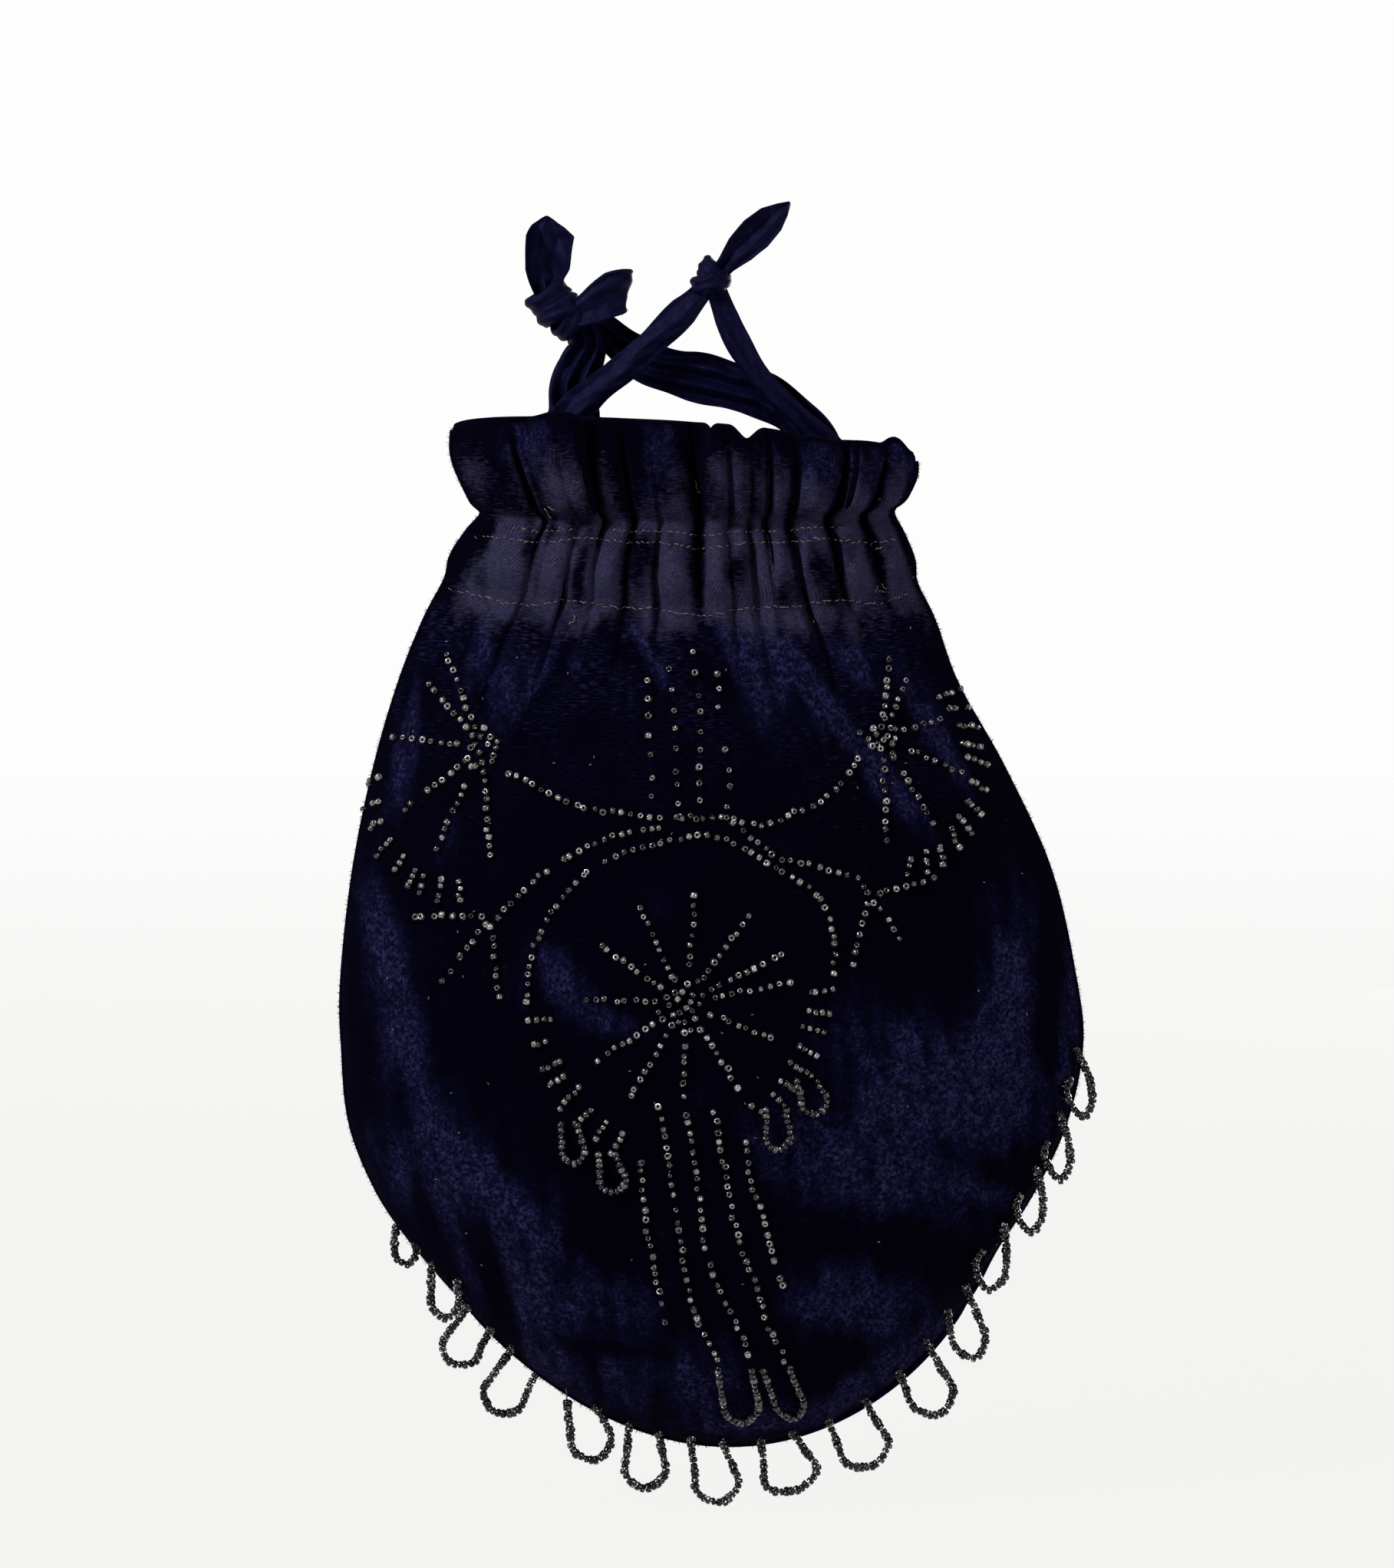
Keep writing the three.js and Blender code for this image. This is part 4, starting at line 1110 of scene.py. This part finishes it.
# %% The bead
BEAD_AROUND = 9
BEAD_PROFILE = np.array([  # radius and height, in bead radii
    (0.42, 0.50), (0.80, 0.74), (1.0, 0.46), (1.0, -0.46), (0.80, -0.74), (0.42, -0.50),
])
bead_turn = 2 * np.pi * np.arange(BEAD_AROUND)[:, None] / BEAD_AROUND
BEAD_SHAPE = np.stack([
    BEAD_PROFILE[:, 0] * np.cos(bead_turn),
    BEAD_PROFILE[:, 0] * np.sin(bead_turn),
    BEAD_PROFILE[:, 1] + 0 * bead_turn,
], -1).reshape(-1, 3)
BEAD_FACES = torus_grid(BEAD_AROUND, len(BEAD_PROFILE))
BEAD_RADIUS = 0.90
STRUNG_RADIUS, DROP_RADIUS = 1.25, 1.05
STRUNG_LENGTH = 0.78
BEAD_PITCH = 1.45
chance = np.random.default_rng(20)


def bead_points(places, axes, sizes, length):
    """The bead's shape turned to each axis, scaled to each size, shortened along the
    axis by the length, and set at each place."""
    axes = unit(axes)
    other = np.where(np.abs(axes[:, 1:2]) < 0.8, [[0.0, 1.0, 0.0]], [[1.0, 0.0, 0.0]])
    first = unit(np.cross(axes, other))
    second = np.cross(axes, first)
    basis = np.stack([first, second, axes * length], 1) * sizes[:, None, None]
    return places[:, None] + np.einsum("pk,nkc->npc", BEAD_SHAPE, basis)


def bead_piece(name, places, axes, finish, radius=BEAD_RADIUS, rarity=2.0, length=1.0):
    """One piece of loose or strung beads, with seeded small differences. The rarity is
    the power that makes pale beads rarer than dark ones."""
    count = len(places)
    sizes = radius * chance.uniform(0.80, 1.12, count)
    tones = chance.uniform(0, 1, count) ** rarity
    axes = unit(axes) + 0.16 * chance.normal(size=axes.shape)
    points = bead_points(places, axes, sizes, length)
    faces = batch(BEAD_FACES, count, len(BEAD_SHAPE))
    values = {"tone": np.repeat(tones, len(BEAD_SHAPE))}
    return make_piece(name, points, faces, finish, values)


# %% [markdown]
# ## Bead loops
# Fifteen loops of strung beads hang along the lower seam, and six short ones hang from
# the embroidery. Each starts and ends on the cloth, so its outline is a leaf between
# two points of the seam: a spread, a drop, a lean and a belly, drawn in from the seam
# by an inset. Its thread goes on into the cloth, so no loop hangs in the air.

# %% Loops
BELLY_CENTRE = (2.0, -206.4)
STRING_RADIUS = 1.15
STRING_CLEARANCE = 0.8
LOOP_THREAD_RADIUS = 0.22
SEWN_IN = np.array([[0.0, 1.6, 0.0]])
BEAD_JITTER = 0.09
# Beads lost at the start of a loop, where its thread shows bare.
BARE_BEADS = {"fringe_loop_05": 2}
FRINGE_LOOPS = [
    # angle, spread, drop, lean, belly, inset
    (-57.0, 4.0, 8.0, 4, 5.0, 0.0),
    (-49.0, 4.6, 13.0, 2, 7.0, -0.6),
    (-39.4, 5.0, 16.0, -32, 10.0, 0.4),
    (-30.0, 5.0, 16.6, -31, 11.0, 0.4),
    (-20.0, 4.6, 18.0, 15, 10.5, 1.6),
    (-9.8, 4.4, 17.0, 2, 11.0, 1.6),
    (-0.8, 4.5, 18.2, 14, 11.5, 2.6),
    (9.2, 4.5, 16.6, 20, 15.0, 2.6),
    (19.8, 6.0, 18.0, 26, 13.0, 2.6),
    (32.2, 6.0, 18.5, 27, 11.5, 3.2),
    (43.3, 4.6, 17.8, 18, 8.5, 3.6),
    (54.9, 5.6, 15.0, -4, 7.0, 3.8),
    (65.8, 5.4, 14.5, 4, 5.5, 3.8),
    (75.4, 5.0, 14.8, 9, 5.5, 3.6),
    (85.8, 4.8, 15.2, 12, 5.5, 2.0),
]
DROP_LOOPS = [
    # x, z, spread, drop, lean, belly
    (-36.8, -227.2, 4.5, 11.1, 9, 6.0),
    (-26.6, -235.1, 4.5, 11.0, 13, 7.0),
    (19.4, -222.6, 5.5, 11.5, 4, 6.5),
    (27.6, -214.8, 5.5, 9.9, 19, 6.8),
    (8.2, -296.2, 9.5, 16.8, 10, 9.0),
    (19.7, -296.5, 7.5, 16.6, 20, 6.8),
]


def inside_outline(x, z):
    """True where the panel's nearest point in the plan is x, z itself."""
    across, down = locate(x, z)
    found_x, found_z, _ = plan(across, down, FRONT)
    return np.hypot(found_x - x, found_z - z) < 0.05


def seam_point(angle, inset):
    """Where the direction from the belly's centre crosses the outline, halved in on, and
    drawn in by the inset. The angle is from straight down, positive to the right."""
    angle = np.radians(np.asarray(angle, float))
    heading = np.stack([np.sin(angle), -np.cos(angle)], -1)
    near, far = np.zeros_like(angle), np.full_like(angle, 140.0)
    for _ in range(30):
        reach = (near + far) / 2
        on_cloth = inside_outline(*(np.array(BELLY_CENTRE) + heading * reach[:, None]).T)
        near, far = np.where(on_cloth, reach, near), np.where(on_cloth, far, reach)
    return np.array(BELLY_CENTRE) + heading * (near - inset)[:, None]


def front_depth(x, z):
    """y of the front panel at x, z, and 0 off the panel."""
    across, down = locate(x, z)
    return np.where(inside_outline(x, z), cloth(across, down, FRONT)[..., 1], 0.0)


def loop_path(start, end, drop, lean, belly, forward=None):
    """Leaf outline between two points: shoulders at 0.4 of the drop, the belly at 0.78,
    then the tip; every point stands a bead's radius and a small gap off the cloth, but
    less at the two ends, where the string is sewn down."""
    start, end = np.asarray(start, float), np.asarray(end, float)
    lean = math.radians(lean)
    fall = np.array([math.sin(lean), -math.cos(lean)])
    aside = np.array([math.cos(lean), math.sin(lean)])
    middle = (start + end) / 2
    shoulder = (np.linalg.norm(end - start) + belly) / 4
    shape = [(0.4, -shoulder), (0.78, -belly / 2), (1.0, 0), (0.78, belly / 2), (0.4, shoulder)]
    flat = [start] + [middle + fall * drop * share + aside * reach for share, reach in shape] + [end]
    dense = smooth_path([(x, 0, z) for x, z in flat], 160)
    depth = front_depth(dense[:, 0], dense[:, 2])
    if forward is None:
        forward = min(depth[0], depth[-1])
    share = np.linspace(0, 1, len(dense))
    freed = smooth_step(np.minimum(share, 1 - share), 0.0, 0.12)
    dense[:, 1] = np.minimum(depth, forward) - (STRING_RADIUS + STRING_CLEARANCE) * (0.5 + 0.5 * freed)
    return dense


def strung_places(path, pitch):
    """Bead places in equal steps along a path, and the path's direction at each."""
    walked = walked_along(path)
    count = max(int(walked[-1] / pitch), 2)
    at = (np.arange(count) + 0.5) * walked[-1] / count
    return read_at(at, walked, path), read_at(at, walked, unit(np.gradient(path, axis=0)))


loop_paths = {}
for k, (angle, spread, drop, lean, belly, inset) in enumerate(FRINGE_LOOPS):
    ends = seam_point([angle - spread / 2, angle + spread / 2], inset)
    loop_paths[f"fringe_loop_{k + 1:02d}"] = loop_path(*ends, drop, lean, belly)
for k, (x, z, spread, drop, lean, belly) in enumerate(DROP_LOOPS):
    ends = (x - spread / 2, z), (x + spread / 2, z)
    loop_paths[f"drop_loop_{k + 1}"] = loop_path(*ends, drop, lean, belly, forward=0.0)

for name, path in loop_paths.items():
    lost = BARE_BEADS.get(name, 0)
    places, axes = [rows[lost:] for rows in strung_places(path, BEAD_PITCH)]
    places = places + chance.normal(0, BEAD_JITTER, places.shape)
    on_seam = name.startswith("fringe")
    finish, radius = (fringe_glass, STRUNG_RADIUS) if on_seam else (drop_glass, DROP_RADIUS)
    looks = dict(radius=radius, rarity=3.2, length=STRUNG_LENGTH)
    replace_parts(bead_piece("beads_" + name, places, axes, finish, **looks), name)

threads = np.stack([
    smooth_path(np.concatenate([path[:1] + SEWN_IN, path[::8], path[-1:] + SEWN_IN]), 60)
    for path in loop_paths.values()
])
thread_piece("loop_threads", threads, (0, -1, 0), LOOP_THREAD_RADIUS, dark_thread)

# %% [markdown]
# ## Bead embroidery
# The face carries a traditional spray: a sunburst under a horseshoe arch, a flower and
# a sprig on each side, and stems that run down to the lower loops. The chart is read
# off the photograph as short lines in its pixels. A line of sight from the
# camera carries each bead onto the curved cloth, so it lies on the velvet from any side.


# %% From the chart to the cloth
def on_face(px, py):
    """across and down where the line of sight through a pixel meets the front panel:
    guess a depth, follow the line to it, read the cloth's depth there, and repeat."""
    px, py = np.asarray(px, float), np.asarray(py, float)
    scale = PIXELS_PER_MM * CAMERA_DISTANCE
    sight = LOOK + (px - PHOTO_WIDE / 2)[:, None] / scale * np.array([1, 0, 0])
    sight = sight + (PHOTO_TALL / 2 - py)[:, None] / scale * LOOK_UP
    depth = np.full(len(px), -30.0)
    for _ in range(6):
        met = EYE + sight * ((depth - EYE[1]) / sight[:, 1])[:, None]
        across, down = locate(met[:, 0], met[:, 2])
        depth = cloth(across, down, FRONT)[:, 1]
    return across, down


def chart_line(points, pitch):
    """Places in equal steps along a line of the chart, and its direction."""
    path = np.array([(x, 0, y) for x, y in points], float)
    if len(path) > 2:
        path = smooth_path(path, 200)
    walked = walked_along(path)
    count = max(int(round(walked[-1] / pitch)), 1) + 1
    places = read_at(np.linspace(0, walked[-1], count), walked, path[:, ::2])
    return places, np.gradient(places, axis=0)


SLIP, LOST_SHARE = 0.2, 0.04


def sewn_beads(name, chart, flat_share):
    """Beads sewn at chart places, each a little out of step and a few of them lost: a
    seeded part lies with the hole outwards, the rest along its line."""
    places = np.concatenate([p for p, _ in chart])
    heading = np.concatenate([d for _, d in chart])
    slip = chance.uniform(-SLIP, SLIP, (len(places), 1))
    places = places + slip * heading + chance.normal(0, 1.0, places.shape)
    stays = chance.uniform(size=len(places)) > LOST_SHARE
    places, heading = places[stays], heading[stays]
    across, down = on_face(places[:, 0], places[:, 1])
    out = cloth_normal(across, down)
    along = unit(np.stack([heading[:, 0], 0 * heading[:, 0], -heading[:, 1]], 1))
    along = square_to(along, out)
    flat = (chance.uniform(size=len(places)) < flat_share)[:, None]
    axes = np.where(flat, out + 0.35 * chance.normal(size=out.shape), along)
    lift = np.where(flat, 0.62, 0.92) * BEAD_RADIUS
    return bead_piece(name, cloth(across, down, FRONT) + out * lift, axes, face_glass)


# %% Chart
# Steps between beads in pixels, and the share of beads that lie with the hole outwards.
LINE_PITCH, SPACED_PITCH, CLOSE_PITCH, BAR_PITCH = 12.5, 24.0, 8.5, 7.3
RAY_FLAT, LINE_FLAT, SPACED_FLAT, STRUNG_FLAT = 0.65, 0.6, 0.7, 0.0
SPRAYS = {
    # centre, where its rays start, their tips
    "left_flower": ((630, 974), 30, [
        (583, 851), (560, 891), (516, 962), (530, 1055), (571, 1106), (640, 1116),
    ]),
    "right_flower": ((1148, 961), 30, [
        (1157, 862), (1180, 889), (1224, 939), (1251, 1009), (1215, 1074), (1154, 1096),
    ]),
    "left_sprig": ((640, 1195), 12, [(541, 1194), (579, 1278), (651, 1300)]),
    "right_sprig": ((1132, 1167), 12, [(1215, 1147), (1172, 1222), (1111, 1256)]),
    "sunburst": ((893, 1308), 38, [
        (906, 1168), (976, 1195), (1019, 1243), (1028, 1281), (1004, 1354), (961, 1416),
        (891, 1426), (823, 1428), (780, 1382), (764, 1302), (784, 1233), (835, 1183),
    ]),
}
LINES = {
    "left_stem": [
        (661, 1009), (689, 1018), (717, 1036), (742, 1047), (774, 1055), (815, 1060), (844, 1065),
        (898, 1063),
    ],
    "left_arc": [(651, 1194), (681, 1163), (726, 1127), (768, 1103), (812, 1087), (860, 1080)],
    "arch": [
        (688, 1308), (691, 1257), (701, 1226), (712, 1202), (734, 1171), (760, 1143), (803, 1116),
        (843, 1104), (884, 1092), (913, 1088), (957, 1100), (992, 1120), (1027, 1143),
        (1060, 1163), (1078, 1189), (1086, 1222), (1085, 1270),
    ],
    "right_arc": [
        (947, 1066), (969, 1085), (992, 1103), (1017, 1119), (1055, 1127), (1084, 1136),
        (1116, 1146), (1132, 1165),
    ],
    "right_stem": [
        (1118, 990), (1089, 1028), (1067, 1047), (1033, 1060), (993, 1077), (974, 1073),
        (947, 1066), (912, 1068), (880, 1065),
    ],
    "stem_1": [(835, 1514), (843, 1599), (852, 1646), (868, 1722)],
    "stem_2": [(860, 1444), (870, 1506), (884, 1595), (900, 1689), (912, 1727), (930, 1758), (937, 1784)],
    "stem_3": [
        (895, 1452), (905, 1516), (914, 1583), (921, 1634), (943, 1689), (958, 1719), (972, 1756),
        (977, 1778),
    ],
    "stem_4": [
        (928, 1437), (941, 1507), (956, 1585), (969, 1637), (984, 1670), (995, 1708), (1009, 1741),
        (1028, 1782),
    ],
    "stem_5": [(972, 1490), (982, 1550), (998, 1596), (1008, 1638), (1022, 1677)],
}
UPRIGHTS = [
    [(844, 886), (850, 1033)],
    [(873, 875), (879, 927), (884, 1052)],
    [(902, 854), (912, 947), (912, 1047)],
    [(933, 876), (941, 959), (950, 1006), (947, 1052)],
]
LEGS = [
    [(755, 1418), (729, 1444)],
    [(750, 1465), (771, 1446)],
    [(791, 1461), (777, 1482)],
    [(798, 1503), (812, 1477)],
    [(984, 1442), (1000, 1455)],
    [(1022, 1442), (1008, 1427)],
    [(1017, 1409), (1043, 1424)],
    [(1058, 1402), (1030, 1385)],
]
BAR_ROWS = {
    # first and last turn of the bars in degrees from level, and their places
    "left_bars": (20, 92, [
        (485, 1018), (484, 1050), (490, 1078), (503, 1104), (520, 1128), (538, 1144), (552, 1152),
        (575, 1160), (601, 1162),
    ]),
    "right_bars": (16, -96, [
        (1236, 904), (1248, 924), (1259, 948), (1263, 972), (1272, 993), (1274, 1025),
        (1267, 1052), (1256, 1076), (1242, 1093), (1226, 1114), (1205, 1124), (1183, 1133),
    ]),
    "arch_left_bars": (4, 32, [(705, 1329), (707, 1359), (720, 1388), (726, 1409)]),
    "arch_right_bars": (4, -28, [(1070, 1291), (1068, 1319), (1061, 1342), (1052, 1370)]),
}
BAR_LENGTH = 25
# Beads in a flower's heart and the heart's radius, laid out on a golden spiral.
HEARTS = {"left_flower": (17, 25), "right_flower": (17, 25), "sunburst": (22, 32)}
GOLDEN_TURN = 2.4
print("lines in the chart:", len(LINES) + len(UPRIGHTS) + len(LEGS))

# %% Sew it
for name, (centre, start, tips) in SPRAYS.items():
    centre = np.array(centre, float)
    rays = [(tuple(centre + unit(np.array(tip) - centre) * start), tip) for tip in tips]
    sewn_beads(name, [chart_line(ray, LINE_PITCH) for ray in rays], RAY_FLAT)
heart_charts = []
for name, (count, radius) in HEARTS.items():
    spiral = np.arange(count) + 0.5
    reach, turn = radius * np.sqrt(spiral / count), spiral * GOLDEN_TURN
    heart = np.stack([reach * np.cos(turn), reach * np.sin(turn)], 1)
    heart_charts.append((np.array(SPRAYS[name][0]) + heart, heart))
sewn_beads("flower_hearts", heart_charts, LINE_FLAT)
for name, lines, pitch, flat in (
    ("stems_and_arches", LINES.values(), LINE_PITCH, LINE_FLAT),
    ("upright_lines", UPRIGHTS, SPACED_PITCH, SPACED_FLAT),
    ("drop_legs", LEGS, CLOSE_PITCH, STRUNG_FLAT),
):
    sewn_beads(name, [chart_line(line, pitch) for line in lines], flat)
for name, (first_turn, last_turn, places) in BAR_ROWS.items():
    turns = np.radians(np.linspace(first_turn, last_turn, len(places)))
    reach = np.stack([np.cos(turns), -np.sin(turns)], 1) * BAR_LENGTH / 2
    ends = zip(np.array(places, float) - reach, np.array(places, float) + reach)
    sewn_beads(name, [chart_line(bar, BAR_PITCH) for bar in ends], STRUNG_FLAT)

# %% [markdown]
# ## Running stitches
# The casing is held by hand-sewn rows of thread, which has faded to a pale brown. Each
# stitch rises over the cloth and dives back in, so it is a short arched thread.


# %% Stitch rows
def stitch_row(across, down, length, face):
    """Arched paths of stitches centred at across, down: seven points each, lifted by a
    half sine from just under the cloth."""
    step = np.linspace(-0.5, 0.5, 7)
    here = cloth(across, down, face)
    ahead = cloth(across + 1e-3, down, face)
    per_mm = 1e-3 / np.linalg.norm(ahead - here, axis=-1)
    run = across[:, None] + (length * per_mm)[:, None] * step
    tilt = down[:, None] + chance.normal(0, 0.02, (len(across), 1)) * step * 2
    base = cloth(run, tilt, face)
    out = cloth_normal(run, tilt, face)
    return base + out * (-0.15 + 0.55 * np.cos(np.pi * step))[None, :, None], out


STITCH_ROWS = [
    # down, first and last across, count, length, panel
    (4.0, -0.95, 0.95, 74, 1.3, FRONT),
    (6.0, -0.97, 0.95, 78, 1.4, FRONT),
    (3.5, -0.80, -0.55, 11, 1.1, FRONT),
    (3.5, -0.35, 0.42, 28, 1.1, FRONT),
    (3.5, 0.50, 0.72, 9, 1.1, FRONT),
    (4.0, -0.95, 0.95, 74, 1.3, BACK),
    (6.0, -0.96, 0.96, 78, 1.4, BACK),
]
STITCH_RADIUS = 0.13
rows = []
for down, first, last, count, length, face in STITCH_ROWS:
    across = np.linspace(first, last, count) + chance.normal(0, 0.006, count)
    waver = down + 0.10 * np.sin(7 * across + 1) + 0.06 * np.sin(17 * across)
    waver = waver + chance.normal(0, 0.02, count)
    rows.append(stitch_row(across, waver, length * chance.uniform(0.7, 1.2, count), face))
stitches, facing = [np.concatenate(parts) for parts in zip(*rows)]
thread_piece("casing_stitches", stitches, facing, STITCH_RADIUS, thread)

# %% Loose threads and lint
# Where a loose thread lies in the photograph's pixels, its turn from level in degrees and
# its length in mm. Lint is strewn over the given range of pixels.
LOOSE = [
    (715, 668, 80, 3.4), (719, 662, 8, 2.0), (909, 632, 100, 2.6), (912, 641, 20, 1.6),
    (1149, 771, 15, 2.8), (1141, 768, 50, 2.0), (1152, 764, -30, 2.2), (1146, 715, 20, 2.0),
    (745, 812, 40, 1.6), (749, 806, 110, 1.4),
]
LINT_COUNT, LINT_LENGTH = 60, 0.6
LINT_ACROSS, LINT_DOWN = (500, 1350), (640, 1700)
lint_px = chance.uniform(*LINT_ACROSS, LINT_COUNT)
lint_py = chance.uniform(*LINT_DOWN, LINT_COUNT)
lint_x, lint_z = (lint_px - KNOT_PX) / PIXELS_PER_MM, (KNOT_PY - lint_py) / PIXELS_PER_MM
on_bag = inside_outline(lint_x, lint_z)
lint_turn = chance.uniform(0, 180, on_bag.sum())
lint = [(x, y, turn, LINT_LENGTH) for x, y, turn in zip(lint_px[on_bag], lint_py[on_bag], lint_turn)]
loose = np.array(LOOSE + lint)
across, down = on_face(loose[:, 0], loose[:, 1])
middle, out = cloth(across, down, FRONT), cloth_normal(across, down)
turn = np.radians(loose[:, 2])
aim = np.stack([np.cos(turn), 0 * turn, np.sin(turn)], -1)
aim = square_to(aim, out)
step = np.linspace(-0.5, 0.5, 7)
curl = 0.15 * np.sin(2 * np.pi * step) * loose[:, 3:4]
bits = middle[:, None] + aim[:, None] * (step * loose[:, 3:4])[..., None]
bits = bits + np.cross(aim, out)[:, None] * curl[..., None] + out[:, None] * 0.35
thread_piece("loose_threads", bits, out[:, None], STITCH_RADIUS, thread)

# %% [markdown]
# ## Pile against the light
# Velvet never ends in a clean line: along the outline the pile stands out as a short,
# uneven fuzz. A hair system would not export, so each tuft is a tiny tapered blade.


# %% Pile along the outline
PILE_MIDDLE = np.array([0.0, 0.0, -190.0])
BLADE_RADII = (0.16, 0.03)


def pile_fuzz(name, path, count, shortest, longest):
    """Blades that start on the path and point away from the bag's middle, with a
    seeded spread; each is two rings of four points, the second one nearly closed."""
    at = chance.uniform(0, len(path) - 1.001, count)
    i = at.astype(int)
    base = path[i] + (path[i + 1] - path[i]) * (at - i)[:, None]
    ahead = unit(path[i + 1] - path[i])
    out = np.stack([ahead[:, 2], 0 * at, -ahead[:, 0]], -1)
    out = out * np.sign(np.sum(out * (base - PILE_MIDDLE), -1, keepdims=True))
    aim = unit(out + 0.45 * chance.normal(size=out.shape))
    base = base + np.stack([0 * at, chance.normal(0, 0.9, count), 0 * at], -1) - 0.3 * out
    length = chance.uniform(shortest, longest, count)[:, None]
    paths = np.stack([base, base + aim * length], 1)
    radius = np.broadcast_to(BLADE_RADII, (count, 2))
    points = sweep(paths, (0.31, -0.95, 0.05), round_profile(4, radius))
    # each blade has no rubbed ground and a seeded level of painted sheen
    values = {"wear_and_ridge_light": np.zeros(count * 8), "painted_sheen": np.repeat(chance.uniform(0, 0.6, count), 8)}
    return make_piece(name, points, batch(ring_grid(2, 4), count, 8), velvet, values)


pile_fuzz("seam_pile", seam_path, count=4200, shortest=0.7, longest=1.9)

# %% [markdown]
# ## Light and floor
# Plain soft studio light. The room's own light is dim, and only the camera sees the
# bright backdrop, so the velvet stays dark before a near-white ground. A lamp from the
# upper left models the folds, weaker ones fill from the right, from behind and from
# above. The pale floor just below the lowest loop glows by itself and pales with
# distance; a floor lit by the lamps alone would show where each of them stands.

# %% Room and lamps
ROOM_LIGHT, BACKDROP_LIGHT = 0.26, 0.985
BAG_MIDDLE_Z = -0.16
LAMPS = {
    # place and size in metres, power in watts
    "key_lamp": ((-1.15, -0.85, 0.75), 0.35, 38),
    "fill_lamp": ((1.2, -0.9, -0.1), 0.5, 9),
    "back_lamp": ((0.7, 1.4, -0.05), 0.7, 13),
    "top_lamp": ((0.0, -0.4, 1.3), 0.9, 7),
}

room = bpy.data.worlds.new("room")
room.use_nodes = True
tree = room.node_tree
dim = tree.nodes["Background"]
set_inputs(tree, dim, Color=(1.0, 0.995, 0.99, 1), Strength=ROOM_LIGHT)
bright = add_node(tree, "ShaderNodeBackground", Color=(1.0, 0.998, 0.995, 1), Strength=BACKDROP_LIGHT)
seen = add_node(tree, "ShaderNodeLightPath").outputs["Is Camera Ray"]
either = dict(at_0=seen, at_1=dim.outputs[0], at_2=bright.outputs[0])
choose = add_node(tree, "ShaderNodeMixShader", **either)
plug(tree, choose.outputs[0], tree.nodes["World Output"].inputs[0])
bpy.context.scene.world = room
bpy.context.scene.view_settings.view_transform = "Standard"


def soft_lamp(name, place, size, power):
    """A square lamp that looks at the middle of the bag."""
    lamp = add_object(name, bpy.data.lights.new(name, "AREA"))
    lamp.data.size = size
    lamp.data.energy = power
    lamp.location = place
    aim = lamp.location.copy()
    aim.x, aim.y, aim.z = -aim.x, -aim.y, BAG_MIDDLE_Z - aim.z
    lamp.rotation_euler = aim.to_track_quat("-Z", "Y").to_euler()


for name, facts in LAMPS.items():
    soft_lamp(name, *facts)
print("lamps:", list(LAMPS))

# %% Floor
FLOOR_Z, FLOOR_REACH = -0.339, 4.0
PAPER = 0.006
GLOW_NEAR, GLOW_FAR = (0.893, 0.886, 0.876, 1), (0.972, 0.970, 0.967, 1)
PALES_FROM, PALES_TO = 0.5, 3.2

floor_mesh = bpy.data.meshes.new("floor")
corners = [(-1, -1), (1, -1), (1, 1), (-1, 1)]
floor_points = [(x * FLOOR_REACH, y * FLOOR_REACH, FLOOR_Z) for x, y in corners]
floor_mesh.from_pydata(floor_points, [], [(0, 1, 2, 3)])
floor = add_object("floor", floor_mesh)
paper, tree, shader = new_material("pale_paper")
behind = add_node(tree, "ShaderNodeSeparateXYZ", Vector=object_place(tree)).outputs["Y"]
pales = stretch(tree, behind, PALES_FROM, PALES_TO)
set_inputs(
    tree,
    shader,
    Base_Color=(PAPER, PAPER, PAPER, 1),
    Roughness=0.9,
    Specular_IOR_Level=0.0,
    Emission_Color=blend_colours(tree, pales, GLOW_NEAR, GLOW_FAR),
    Emission_Strength=1.0,
)
floor_mesh.materials.append(paper)
print("floor at", FLOOR_Z, "m")
